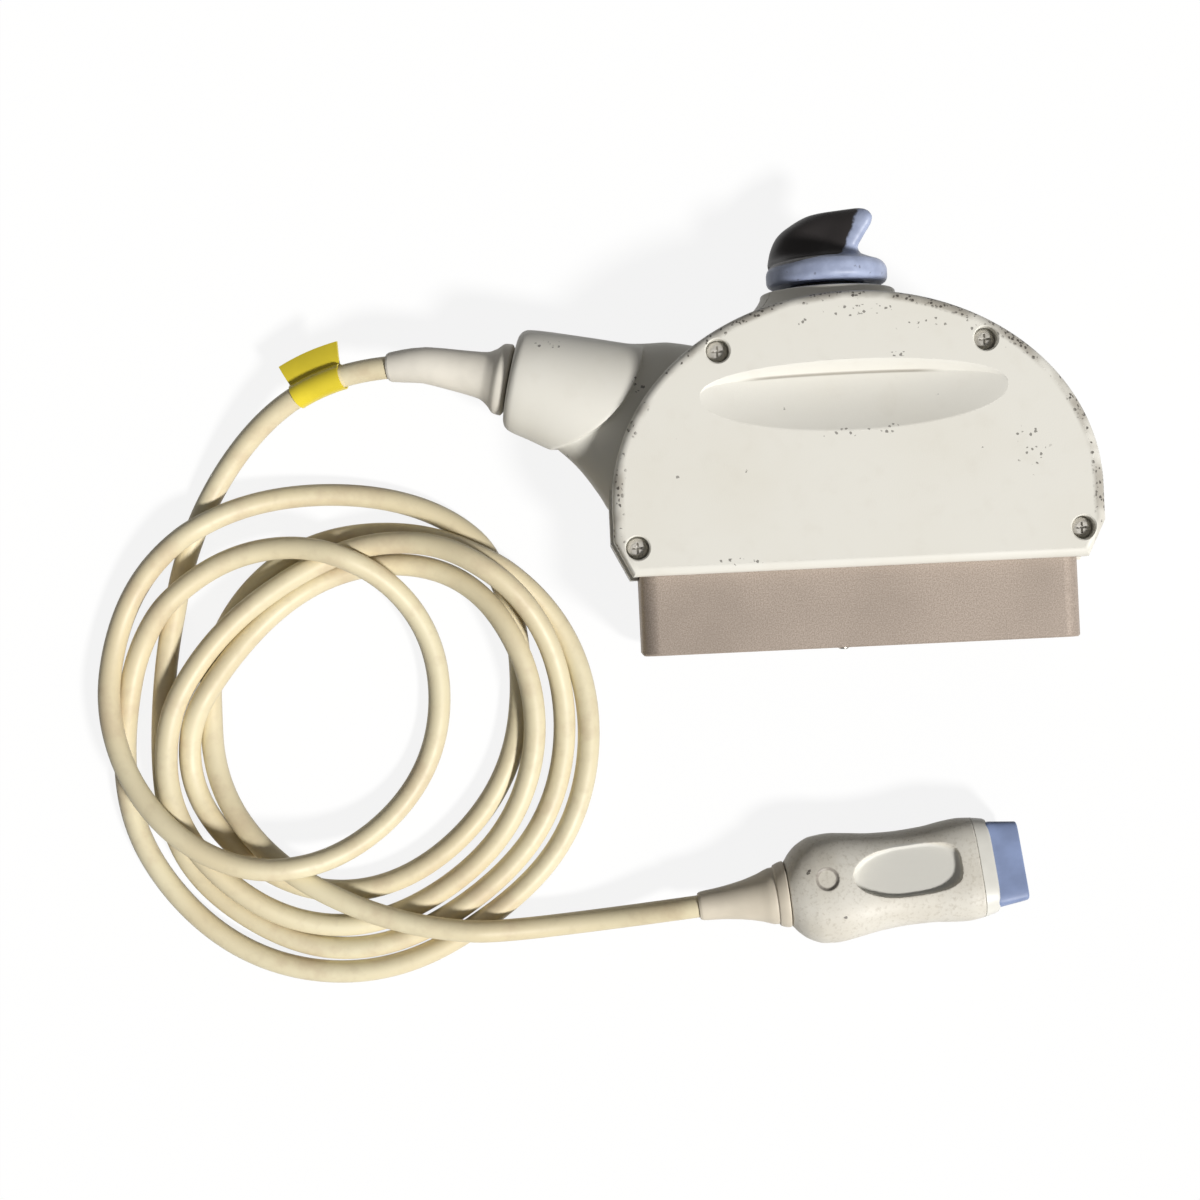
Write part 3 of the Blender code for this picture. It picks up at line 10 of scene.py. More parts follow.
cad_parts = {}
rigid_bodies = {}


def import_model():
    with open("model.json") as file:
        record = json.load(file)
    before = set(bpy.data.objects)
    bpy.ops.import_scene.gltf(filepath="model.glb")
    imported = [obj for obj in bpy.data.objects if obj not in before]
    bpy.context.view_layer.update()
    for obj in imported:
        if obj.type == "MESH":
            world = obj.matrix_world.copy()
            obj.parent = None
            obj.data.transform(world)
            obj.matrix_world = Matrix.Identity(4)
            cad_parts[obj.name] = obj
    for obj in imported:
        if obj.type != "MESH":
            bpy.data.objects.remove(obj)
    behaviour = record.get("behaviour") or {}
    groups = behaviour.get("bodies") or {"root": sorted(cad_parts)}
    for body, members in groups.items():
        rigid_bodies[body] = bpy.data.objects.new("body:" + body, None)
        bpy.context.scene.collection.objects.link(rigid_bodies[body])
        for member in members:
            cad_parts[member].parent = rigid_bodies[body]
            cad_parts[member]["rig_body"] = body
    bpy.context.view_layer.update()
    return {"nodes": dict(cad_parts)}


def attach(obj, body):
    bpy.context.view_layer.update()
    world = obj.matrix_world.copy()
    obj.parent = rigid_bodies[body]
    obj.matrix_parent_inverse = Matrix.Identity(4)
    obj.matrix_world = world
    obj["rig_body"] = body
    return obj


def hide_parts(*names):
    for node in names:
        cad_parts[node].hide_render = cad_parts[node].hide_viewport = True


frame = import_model()
MM = 0.001
GAP = 0.3

# Where the camera stands over the table, in metres, and how the picture is turned against the part's frame
CAMERA_PLACE = (-0.07316, -0.04090, 0.600)
CAMERA_TURN = -2.7
CAMERA_LENS = 60.0
SENSOR = 36.0

# Table and light
FLOOR_SIZE = 6.0
FLOOR_SEEN = 0.88
FLOOR_BOUNCE = 0.24
SUN_STRENGTH = 3.65
SUN_HEIGHT = 47.0
SUN_FROM = -42.0
SUN_SPREAD = 9.0
SKY = 0.15

# Plug housing in millimetres, as all lengths below are: an arch on straight sides, in two covers
HOUSING_HALF_WIDTH = 68.5
ARCH_RISE = 57.0
ARCH_FOOT_Y = -15.0
HOUSING_BOTTOM_Y = -35.0
BOTTOM_HALF_WIDTH = HOUSING_HALF_WIDTH - 5.0
CORNER_TOP_Y = -25.0
HOUSING_THICKNESS = 45.0
SPLIT_Z = HOUSING_THICKNESS - 15.0
WALL = 2.6
EDGE_RADIUS = 2.5
REAR_STEP = 0.8
ARCH_POINTS = 120
EDGE_POINTS = 8

# Finger scoop of the front cover: its ends, its lower edge, the crease under its brow and the brow's rim
GRIP_HALF_LENGTH = 43.0
GRIP_END_Y = 13.6
GRIP_LOW_Y = 2.6
GRIP_CREASE_Y = 19.2
GRIP_RIM_Y = 22.8
GRIP_DEPTH = 4.0
# How fast the outline, the rim, the wall and the depth fall off towards the ends, and how they curve across
GRIP_LOW_POWER = 0.5
GRIP_RIM_POWER = 0.4
GRIP_WALL_POWER = 0.6
GRIP_DEPTH_POWER = 0.95
GRIP_FLOOR_CURVE = 0.95
GRIP_WALL_CURVE = 1.35
GRIP_STATIONS = 72
GRIP_FLOOR_STEPS = 22
GRIP_WALL_STEPS = 14

# Cover screws and their bosses
UPPER_SCREW_X = HOUSING_HALF_WIDTH - 31.2
UPPER_SCREW_Y = ARCH_FOOT_Y + ARCH_RISE - 15.3
LOWER_SCREW_X = HOUSING_HALF_WIDTH - 6.5
LOWER_SCREW_Y = HOUSING_BOTTOM_Y + 8.0
SCREW_PLACES = (
    (-UPPER_SCREW_X, UPPER_SCREW_Y),
    (UPPER_SCREW_X, UPPER_SCREW_Y),
    (-LOWER_SCREW_X, LOWER_SCREW_Y),
    (LOWER_SCREW_X, LOWER_SCREW_Y),
)
COUNTERBORE_DEPTH = 5.0
COUNTERBORE_RADIUS = 3.3
BOSS_RADIUS = 4.2
SCREW_SHANK_RADIUS = 1.8

# Opening for the metal shroud
SHROUD_REACH = BOTTOM_HALF_WIDTH - 1.4
SHROUD_LOW_Z = 4.7
SHROUD_HIGH_Z = HOUSING_THICKNESS - 4.7

# Lock: collar, bush and knob about one axis along Y
LOCK_X = -3.5
LOCK_Z = HOUSING_THICKNESS / 2
COLLAR_TOP_Y = ARCH_FOOT_Y + ARCH_RISE + 2.6
COLLAR_TOP_HALF_WIDTH = 19.4
COLLAR_TOP_HALF_DEPTH = 17.4
COLLAR_FOOT_Y = COLLAR_TOP_Y - 8.6
COLLAR_FOOT_HALF_WIDTH = 26.5
COLLAR_FOOT_HALF_DEPTH = LOCK_Z - 2.4
COLLAR_EDGE = 0.8
BUSH_HOLE_RADIUS = 7.0
BUSH_HOLE_START = COLLAR_TOP_Y - 9.3
KNOB_FACE_Y = COLLAR_TOP_Y + 1.9
KNOB_RADIUS = 17.4
KNOB_DISC = 6.9
KNOB_EDGE = 1.6
KNOB_BORE_RADIUS = 4.3
KNOB_BORE_DEPTH = 5.6
FIN_ANGLE = 30.0
# Height above the disc, reach of the fin back and forward, and half thickness of its back and its tip
FIN_SECTIONS = (
    (-0.8, 16.4, 15.6, 13.6, 10.6),
    (0.4, 16.6, 13.0, 12.4, 7.5),
    (1.6, 16.6, 10.6, 11.0, 4.9),
    (3.2, 16.5, 9.9, 9.7, 3.9),
    (5.4, 16.0, 11.2, 8.5, 3.4),
    (7.8, 14.9, 13.0, 7.3, 3.3),
    (9.8, 13.0, 14.4, 6.2, 3.2),
    (11.4, 10.4, 14.8, 5.0, 2.9),
    (12.8, 7.6, 14.1, 3.8, 2.4),
    (13.8, 4.6, 12.6, 2.6, 1.8),
    (14.2, 1.6, 10.8, 1.4, 1.1),
)

# Cable outlet: a round barrel that ends in a curved lip, on a web that spreads into the side wall
OUTLET_END = (-HOUSING_HALF_WIDTH - 27.4, 23.5, HOUSING_THICKNESS / 2)
OUTLET_ANGLE = 166.3
OUTLET_HOLE_RADIUS = 5.9
OUTLET_HOLE_DEPTH = 14.0
# Distance in from the end, reach up and down, and half depth
BARREL_SECTIONS = (
    (0.0, 13.0, 12.0, 12.5),
    (0.7, 14.3, 13.3, 13.8),
    (2.2, 15.3, 14.3, 14.7),
    (8.0, 15.9, 15.7, 15.1),
    (15.5, 16.3, 17.5, 15.3),
    (22.0, 16.6, 18.6, 15.4),
    (30.0, 16.9, 19.3, 15.4),
    (38.0, 17.4, 19.6, 15.4),
)
LIP_INWARDS = 5.0
LIP_ACROSS = 12.0
LIP_RADIUS = 31.0
WEB_SECTIONS = (
    (10.0, 14.0, 13.5, 10.4),
    (18.0, 15.6, 17.4, 11.0),
    (23.0, 16.2, 20.4, 11.4),
    (27.3, 16.6, 23.8, 11.7),
    (31.7, 17.1, 27.9, 12.1),
    (35.8, 17.9, 31.8, 12.6),
    (43.0, 19.6, 33.0, 13.4),
    (50.0, 20.0, 33.0, 14.0),
)
OUTLET_POINTS = 96

# Strain reliefs: distance along the cable from the housing that each leaves, and radius
CABLE_BORE = 3.65
PLUG_BOOT_PROFILE = (
    (-6.0, 8.0),
    (-3.0, 8.0),
    (-2.9, 5.5),
    (0.5, 5.5),
    (0.6, 9.4),
    (1.4, 10.4),
    (3.4, 10.2),
    (5.4, 8.4),
    (8.0, 6.9),
    (11.5, 6.4),
    (22.0, 5.5),
    (35.2, 4.3),
    (36.0, 3.9),
)
PROBE_BOOT_PROFILE = (
    (-6.0, 6.9),
    (0.2, 6.9),
    (0.3, 9.3),
    (0.7, 9.7),
    (3.4, 8.9),
    (3.8, 8.3),
    (4.4, 8.3),
    (8.5, 7.0),
    (13.0, 5.8),
    (20.0, 4.7),
    (25.6, 4.2),
    (26.5, 3.8),
)
BOOT_POINTS = 56

# Transducer: place of its rear end, how it points and how far it has rolled over
PROBE_REAR = (-22.0, -129.7, 12.404)
PROBE_YAW = 5.3
PROBE_ROLL = -12.0
SHELL_WALL = 2.2
SEAM = 0.05
# Distance forward, half width, half thickness and how square the section is
SHELL_SECTIONS = (
    (0.0, 9.6, 9.4, 2.0),
    (2.0, 12.0, 10.4, 2.1),
    (4.5, 14.0, 11.2, 2.2),
    (8.5, 15.6, 11.8, 2.3),
    (13.0, 15.9, 11.9, 2.4),
    (19.0, 15.2, 11.5, 2.5),
    (26.0, 14.2, 10.8, 2.5),
    (34.0, 13.8, 10.3, 2.5),
    (41.0, 14.0, 10.3, 2.6),
    (47.0, 14.7, 10.6, 2.7),
    (51.5, 15.0, 10.8, 2.8),
    (55.5, 14.6, 10.6, 3.0),
)
SHELL_POINTS = 120
THUMB_CENTRE = (34.4, 1.2)
THUMB_HALF_LENGTH = 15.8
THUMB_HALF_WIDTH = 7.4
THUMB_FLOOR_Z = 8.4
THUMB_PAN_WALL = 1.6
THUMB_POINTS = 96
DIMPLE_PLACE = (11.0, 2.0)
DIMPLE_RADIUS = 3.4
DIMPLE_DEPTH = 0.5
NOSE_LENGTH = 4.2
NOSE_END = (13.8, 9.8, 3.2)
NOSE_SKIRT = 3.0
NOSE_RIM = 1.8
LENS_ROOT = (12.4, 8.4, 5.0)
LENS_TIP = (11.4, 6.4, 5.0)
LENS_REACH = 9.0
LENS_EDGE = 0.7
LENS_POWER = 9.0

# The cable and the points that its centre line passes through
CABLE_RADIUS = 3.3
CABLE_SMOOTHING = 28
CABLE_SPACING = 2.0
CABLE_STRAIGHT = 14.0
CABLE_LIFT = 0.1
CABLE_INTO_PROBE = 11.0
CABLE_CLEARANCE = 2 * CABLE_RADIUS + 0.1
CABLE_PARTING_PASSES = 60
CABLE_NEIGHBOURS = 20
CABLE_ROUTE = (
    # out of the plug's relief and down to the table
    (-121, 29.3, 22.4), (-131, 30.4, 21.8), (-139, 29.6, 20.2),
    (-161.5, 23.5, 13), (-189.5, -6.5, 3.4), (-202.5, -47, 3.4), (-203.5, -109.5, 3.4),
    # first turn
    (-187, -128, 3.4), (-156, -142.5, 3.4), (-135.5, -140, 3.4), (-95, -111.5, 3.4), (-85, -85, 3.4),
    (-86, -58, 5.4), (-96, -37.5, 16), (-113.5, -23, 15.8), (-124, -20.5, 11.1), (-146, -21, 9.8),
    (-170.5, -33.5, 9.2), (-179.5, -39.5, 10.2), (-197.5, -60.5, 10.4), (-204.5, -77.5, 10.3),
    # second turn
    (-201, -103.5, 10.3), (-170.5, -133, 6.7), (-160.5, -135.5, 3.9), (-145.5, -135.5, 3.4),
    (-109.5, -115.5, 3.4), (-95.5, -92.5, 7.4), (-93, -68, 9.2), (-101.5, -44, 10.2), (-117, -29, 3.9),
    (-148.5, -27, 3.4), (-169, -37.5, 3.9), (-187, -56, 10.4), (-191, -62.5, 10.4), (-198.5, -76.5, 5.2),
    # third turn
    (-198, -94, 3.4), (-169.5, -122.5, 3.4), (-144, -125, 3.4), (-123, -115, 3.4), (-101, -88.5, 3.4),
    (-98.5, -42.5, 3.4), (-107.5, -21, 3.4), (-114, -15, 3.4), (-134.5, -7, 3.4), (-160, -5, 3.7),
    (-175, -6.5, 6.5), (-186, -10.5, 10), (-197.5, -16.5, 10.2), (-214, -33.5, 5), (-220, -74, 9.5),
    # small inner turn
    (-201, -104.5, 17.2), (-178.5, -116.5, 17.2), (-166.5, -117, 16.9), (-154, -114, 10.8),
    (-142, -107, 5.4), (-131.5, -97, 3.4), (-123.5, -84, 3.4), (-121.5, -54.5, 3.5), (-126.5, -41.5, 5.4),
    (-143.5, -24.5, 15.2), (-154, -21, 15.6), (-164.5, -20, 11.9), (-177, -20.5, 10.2),
    (-187.5, -24.5, 10.2),
    # widest turn
    (-198, -32, 10), (-206.5, -41, 8.1), (-213.5, -51, 3.9), (-217.5, -95.5, 3.4),
    (-215, -105.5, 3.4), (-200, -128, 3.4), (-189, -138, 3.4), (-176, -145, 3.4), (-161.5, -148.5, 3.4),
    (-134.5, -147, 3.4), (-95.5, -123, 3.4), (-85, -110.5, 3.4), (-77, -79.5, 3.4), (-81.5, -53.5, 3.4),
    (-87.5, -43, 3.8), (-95, -34, 9), (-111, -23, 9.3), (-119.5, -19.5, 5), (-129.5, -17.5, 3.4),
    # last turn and the run to the transducer
    (-150.5, -17.5, 3.4), (-160.5, -19.5, 3.4), (-170, -25, 3.4), (-186.5, -43, 3.4), (-190.5, -52, 3.4),
    (-192.5, -70.5, 3.4), (-190, -91, 3.9), (-185, -101, 6.5), (-169.5, -117, 10), (-139.5, -132.5, 10.4),
    (-114.5, -137.5, 10.3), (-92.5, -137, 4.9), (-73, -135.5, 5.4), (-60, -133.5, 10.6),
)

# Tape wound round the cable, its ends pressed together into a flag that spreads and droops a little
TAPE_CENTRE = (-152.6, 25.4, 16.6)
TAPE_START = -7.2
TAPE_END = 8.4
TAPE_INNER = CABLE_RADIUS + 0.15
TAPE_OUTER = CABLE_RADIUS + 0.6
TAPE_REACH = 10.4
TAPE_HALF_THICKNESS = 0.45
TAPE_SPREAD = 0.13
TAPE_DROOP = 0.025
TAPE_STATIONS = 16
TAPE_FLAG_STEPS = 10
TAPE_WRAP_STEPS = 36


# Curves


def smooth_curve(points, per_span=12):
    """A centripetal Catmull-Rom curve through points."""
    points = [Vector(p) for p in points]
    points = [points[0] * 2 - points[1]] + points + [points[-1] * 2 - points[-2]]
    curve = []
    for a, b, c, d in zip(points, points[1:], points[2:], points[3:]):
        t1 = math.sqrt((b - a).length)
        t2 = t1 + math.sqrt((c - b).length)
        t3 = t2 + math.sqrt((d - c).length)
        for i in range(per_span):
            t = t1 + (t2 - t1) * i / per_span
            ab = a.lerp(b, t / t1)
            bc = b.lerp(c, (t - t1) / (t2 - t1))
            cd = c.lerp(d, (t - t2) / (t3 - t2))
            abc = ab.lerp(bc, t / t2)
            bcd = bc.lerp(cd, (t - t1) / (t3 - t1))
            curve.append(abc.lerp(bcd, (t - t1) / (t2 - t1)))
    curve.append(points[-2])
    return curve


class Path:
    """Places along a curve by the distance from its start."""

    def __init__(self, points):
        self.points = points
        self.marks = [0.0]
        for a, b in zip(points, points[1:]):
            self.marks.append(self.marks[-1] + (b - a).length)
        self.length = self.marks[-1]

    def at(self, distance):
        distance = min(max(distance, 0.0), self.length)
        i = 0
        while i < len(self.marks) - 2 and self.marks[i + 1] < distance:
            i += 1
        share = (distance - self.marks[i]) / (self.marks[i + 1] - self.marks[i])
        return self.points[i].lerp(self.points[i + 1], share)

    def tangent(self, distance):
        return (self.at(distance + 0.8) - self.at(distance - 0.8)).normalized()

    def nearest(self, place):
        place = Vector(place)
        best = min(range(len(self.points)), key=lambda i: (self.points[i] - place).length)
        return self.marks[best]


def through(table, steps):
    """A table's rows with others between them, on a smooth curve through each column without overshoot."""
    marks = [row[0] for row in table]
    columns = list(zip(*table))[1:]
    slopes = []
    for column in columns:
        spans = list(zip(marks, marks[1:], column, column[1:]))
        rises = [(d - c) / (b - a) for a, b, c, d in spans]
        inner = [2 * p * q / (p + q) if p * q > 0 else 0.0 for p, q in zip(rises, rises[1:])]
        slopes.append([rises[0]] + inner + [rises[-1]])
    rows = []
    for i in range(len(marks) - 1):
        width = marks[i + 1] - marks[i]
        for k in range(steps):
            t = k / steps
            ease = t * t * (3 - 2 * t)
            row = [marks[i] + width * t]
            for column, slope in zip(columns, slopes):
                bulge = t * (1 - t) ** 2 * slope[i] - t * t * (1 - t) * slope[i + 1]
                row.append(column[i] + (column[i + 1] - column[i]) * ease + width * bulge)
            rows.append(tuple(row))
    rows.append(tuple(table[-1]))
    return rows


def superellipse(half_width, half_height, power, count):
    """Points of a superellipse in its own plane, counterclockwise."""
    points = []
    for i in range(count):
        angle = 2 * math.pi * i / count
        c = math.cos(angle)
        s = math.sin(angle)
        x = half_width * math.copysign(abs(c) ** (2 / power), c)
        y = half_height * math.copysign(abs(s) ** (2 / power), s)
        points.append((x, y))
    return points


def circle(centre, side, up, radius, count):
    points = []
    for i in range(count):
        angle = 2 * math.pi * i / count
        points.append(centre + side * (radius * math.cos(angle)) + up * (radius * math.sin(angle)))
    return points


def inset_loop(points, distance):
    """Move a counterclockwise outline inwards by a distance."""
    moved = []
    count = len(points)
    for i in range(count):
        before = Vector(points[i]) - Vector(points[i - 1])
        after = Vector(points[(i + 1) % count]) - Vector(points[i])
        a = Vector((-before.y, before.x)).normalized()
        b = Vector((-after.y, after.x)).normalized()
        shift = (a + b) * (distance / (1 + a.dot(b)))
        moved.append((points[i][0] + shift.x, points[i][1] + shift.y))
    return moved


# Modelling


def deselect_all():
    bpy.ops.object.select_all(action="DESELECT")


def activate(piece):
    deselect_all()
    piece.select_set(True)
    bpy.context.view_layer.objects.active = piece


def apply_modifier(piece, kind, **settings):
    modifier = piece.modifiers.new(kind.lower(), kind)
    for key, value in settings.items():
        setattr(modifier, key, value)
    activate(piece)
    bpy.ops.object.modifier_apply(modifier=modifier.name)


def combine(piece, tool, operation="DIFFERENCE"):
    """Cut a piece with a tool, or join them, and drop the tool."""
    apply_modifier(piece, "BOOLEAN", object=tool, operation=operation, solver="EXACT")
    bpy.data.objects.remove(tool)
    return piece


def loft(name, rings, ends="capped"):
    """A closed skin over rings of equal point count, given in millimetres."""
    count = len(rings[0])
    points = [Vector(point) * MM for ring in rings for point in ring]
    pairs = list(zip(range(len(rings)), range(1, len(rings))))
    if ends == "joined":
        pairs.append((len(rings) - 1, 0))
    faces = []
    for a, b in pairs:
        for i in range(count):
            j = (i + 1) % count
            faces.append((a * count + i, a * count + j, b * count + j, b * count + i))
    if ends == "capped":
        faces.append(tuple(range(count)))
        faces.append(tuple(range(len(points) - count, len(points))))
    mesh = bpy.data.meshes.new(name)
    mesh.from_pydata(points, [], faces)
    piece = bpy.data.objects.new(name, mesh)
    bpy.context.scene.collection.objects.link(piece)
    activate(piece)
    bpy.ops.object.mode_set(mode="EDIT")
    bpy.ops.mesh.select_all(action="SELECT")
    bpy.ops.mesh.remove_doubles(threshold=1e-7)
    bpy.ops.mesh.normals_make_consistent(inside=False)
    bpy.ops.object.mode_set(mode="OBJECT")
    return piece


def turned(name, origin, axis, profile, count, ends="capped"):
    """A piece turned about an axis from distances along it and radii."""
    axis = Vector(axis).normalized()
    side = axis.orthogonal().normalized()
    up = axis.cross(side)
    return loft(name, [circle(Vector(origin) + axis * s, side, up, r, count) for s, r in profile], ends)


def block(low, high):
    """A cutting block between two corners, from a cube."""
    size = [(b - a) * MM for a, b in zip(low, high)]
    middle = [(a + b) / 2 * MM for a, b in zip(low, high)]
    deselect_all()
    bpy.ops.mesh.primitive_cube_add(size=1.0, location=middle)
    tool = bpy.context.object
    tool.scale = size
    bpy.ops.object.transform_apply(location=True, rotation=True, scale=True)
    return tool


def pin(place, low, high, radius, count=48):
    """An upright cutting pin between two heights, from a cylinder."""
    deselect_all()
    middle = (place[0] * MM, place[1] * MM, (low + high) / 2 * MM)
    bpy.ops.mesh.primitive_cylinder_add(
        vertices=count, radius=radius * MM, depth=(high - low) * MM, location=middle
    )
    bpy.ops.object.transform_apply(location=True, rotation=True, scale=True)
    return bpy.context.object


def sliced(piece, height, keep_above):
    """Cut a piece at a height, keep one side and close it."""
    activate(piece)
    bpy.ops.object.mode_set(mode="EDIT")
    bpy.ops.mesh.select_all(action="SELECT")
    bpy.ops.mesh.bisect(
        plane_co=(0, 0, height * MM),
        plane_no=(0, 0, 1),
        use_fill=True,
        clear_inner=keep_above,
        clear_outer=not keep_above,
    )
    bpy.ops.object.mode_set(mode="OBJECT")
    return piece


def softened(piece, grain, passes):
    """Melt a piece's parts into one skin of small even faces with soft inner corners."""
    activate(piece)
    piece.data.remesh_voxel_size = grain * MM
    piece.data.use_remesh_fix_poles = False
    bpy.ops.object.voxel_remesh()
    apply_modifier(piece, "SMOOTH", factor=0.5, iterations=passes)
    return piece


def dress(piece, nodes, finish, angle=32.0):
    """Shade a finished piece, give it its finish and let it stand for its solids."""
    activate(piece)
    bpy.ops.object.shade_smooth_by_angle(angle=math.radians(angle))
    apply_modifier(piece, "WEIGHTED_NORMAL", keep_sharp=True)
    piece.data.materials.clear()
    piece.data.materials.append(finish)
    for polygon in piece.data.polygons:
        polygon.material_index = 0
    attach(piece, frame["nodes"][nodes[0]]["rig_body"])
    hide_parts(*nodes)
    return piece


def dressed(node, name, finish, bevel=0.0, angle=38.0):
    """A merged and smoothly shaded copy of a solid, its edges broken, that stands for the node."""
    source = frame["nodes"][node]
    piece = bpy.data.objects.new(name, source.data.copy())
    bpy.context.scene.collection.objects.link(piece)
    activate(piece)
    bpy.ops.object.mode_set(mode="EDIT")
    bpy.ops.mesh.select_all(action="SELECT")
    bpy.ops.mesh.remove_doubles(threshold=2e-6)
    bpy.ops.mesh.dissolve_limited(angle_limit=math.radians(0.4))
    bpy.ops.object.mode_set(mode="OBJECT")
    if bevel:
        limit = math.radians(angle)
        apply_modifier(piece, "BEVEL", width=bevel * MM, segments=2, limit_method="ANGLE", angle_limit=limit)
    return dress(piece, [node], finish, angle)


# Shader maths


class Value:
    """A number socket of a shader that takes part in Python arithmetic."""

    def __init__(self, finish, socket):
        self.finish = finish
        self.socket = socket

    def math(self, operation, *others):
        inputs = [self.socket] + [getattr(o, "socket", o) for o in others]
        node = self.finish.node("ShaderNodeMath", {"operation": operation}, dict(enumerate(inputs)))
        return Value(self.finish, node.outputs[0])

    def __add__(self, other):
        return self.math("ADD", other)

    __radd__ = __add__

    def __mul__(self, other):
        return self.math("MULTIPLY", other)

    __rmul__ = __mul__

    def __sub__(self, other):
        return self.math("SUBTRACT", other)

    def __rsub__(self, other):
        return (self * -1) + other

    def __truediv__(self, other):
        return self.math("DIVIDE", other)

    def __pow__(self, other):
        return self.math("POWER", other)

    def root(self):
        return self.math("SQRT")

    def size(self):
        return self.math("ABSOLUTE")

    def most(self, other):
        return self.math("MAXIMUM", other)

    def between(self, low, high):
        """0 at low, 1 at high and smooth in between; low may be the larger."""
        settings = {"interpolation_type": "SMOOTHSTEP"}
        rising = low < high
        ends = (low, high) if rising else (high, low)
        outs = (0.0, 1.0) if rising else (1.0, 0.0)
        inputs = {0: self.socket, 1: ends[0], 2: ends[1], 3: outs[0], 4: outs[1]}
        node = self.finish.node("ShaderNodeMapRange", settings, inputs)
        return Value(self.finish, node.outputs[0])


class Finish:
    """A material under construction."""

    def __init__(self, name):
        self.material = bpy.data.materials.new(name)
        self.material.use_nodes = True
        self.tree = self.material.node_tree
        self.shader = self.tree.nodes["Principled BSDF"]
        self.place = self.node("ShaderNodeTexCoord", {}, {}).outputs["Object"]

    def node(self, kind, settings, inputs):
        node = self.tree.nodes.new(kind)
        for key, value in settings.items():
            setattr(node, key, value)
        for key, value in inputs.items():
            value = getattr(value, "socket", value)
            if isinstance(value, bpy.types.NodeSocket):
                self.tree.links.new(value, node.inputs[key])
            else:
                node.inputs[key].default_value = value
        return node

    def axes(self, place=None):
        """The three coordinates of a place, in millimetres."""
        node = self.node("ShaderNodeSeparateXYZ", {}, {0: place or self.place})
        return [Value(self, node.outputs[i]) * 1000.0 for i in range(3)]

    def noise(self, scale, detail=2.0, roughness=0.5):
        inputs = {"Vector": self.place, "Scale": scale, "Detail": detail, "Roughness": roughness}
        return Value(self, self.node("ShaderNodeTexNoise", {}, inputs).outputs["Fac"])

    def cells(self, scale):
        """Distance to the nearest of scattered points, counted in cells, and each cell's random number."""
        node = self.node("ShaderNodeTexVoronoi", {}, {"Vector": self.place, "Scale": scale})
        chance = self.node("ShaderNodeSeparateColor", {}, {0: node.outputs["Color"]})
        return Value(self, node.outputs["Distance"]), Value(self, chance.outputs[0])

    def mix(self, amount, first, second):
        settings = {"data_type": "RGBA"}
        first = (*first, 1.0) if isinstance(first, tuple) else first
        second = (*second, 1.0) if isinstance(second, tuple) else second
        node = self.node("ShaderNodeMix", settings, {0: amount, 6: first, 7: second})
        return node.outputs[2]

    def bump(self, height, depth):
        """Relief of a height from 0 to 1, whose full depth is in metres."""
        inputs = {"Height": height, "Distance": depth, "Strength": 1.0}
        return self.node("ShaderNodeBump", {}, inputs).outputs[0]

    def finished(self, color, roughness, metallic=0.0, normal=None):
        for key, value in (("Base Color", color), ("Roughness", roughness), ("Metallic", metallic)):
            value = getattr(value, "socket", value)
            if isinstance(value, bpy.types.NodeSocket):
                self.tree.links.new(value, self.shader.inputs[key])
            elif isinstance(value, tuple):
                self.shader.inputs[key].default_value = (*value, 1.0)
            else:
                self.shader.inputs[key].default_value = value
        if normal:
            self.tree.links.new(normal, self.shader.inputs["Normal"])
        return self.material


# Finishes

CREAM = (0.805, 0.79, 0.73)
CREAM_AGED = (0.76, 0.735, 0.655)
# Dark brown for patches along the arch's edge and for the painted shade in the scoop's crease.
EDGE_DARK_AND_CREASE_SHADE = (0.20, 0.165, 0.12)
CHIP = (0.075, 0.065, 0.055)
# Where the front cover is marked: centre and reach of each patch, and the share of its cells that show
MARKED_PATCHES = (
    ((1.5, 36.2), (11.0, 1.7), 0.55),
    ((-13.5, 33.4), (1.6, 1.2), 0.8),
    ((13.2, 23.4), (4.6, 0.8), 0.95),
    ((-2.0, 2.3), (9.0, 1.4), 0.28),
    ((9.5, 3.0), (3.2, 1.8), 0.75),
    ((48.0, -3.5), (4.5, 9.5), 0.30),
    ((-36.0, -32.3), (9.0, 1.3), 0.42),
    ((-65.2, -1.0), (0.9, 1.6), 0.95),
    ((-59.2, 19.6), (2.2, 2.6), 0.8),
    ((29.0, 31.0), (16.0, 2.6), 0.22),
    ((-84.5, 32.2), (5.0, 1.6), 0.6),
    ((-89.3, 22.3), (1.0, 1.0), 0.95),
)


def specks(finish, scale, share, size):
    """Scattered small marks: 1 inside a mark, on a share of the cells, which may vary over the surface."""
    distance, chance = finish.cells(scale)
    ragged = distance + (finish.noise(scale * 1.7, 3.0, 0.7) - 0.5) * 0.9
    inside = ragged.between(size, size * 0.7)
    kept = (chance - (1 - share)).between(0.0, 0.01)
    return inside * kept


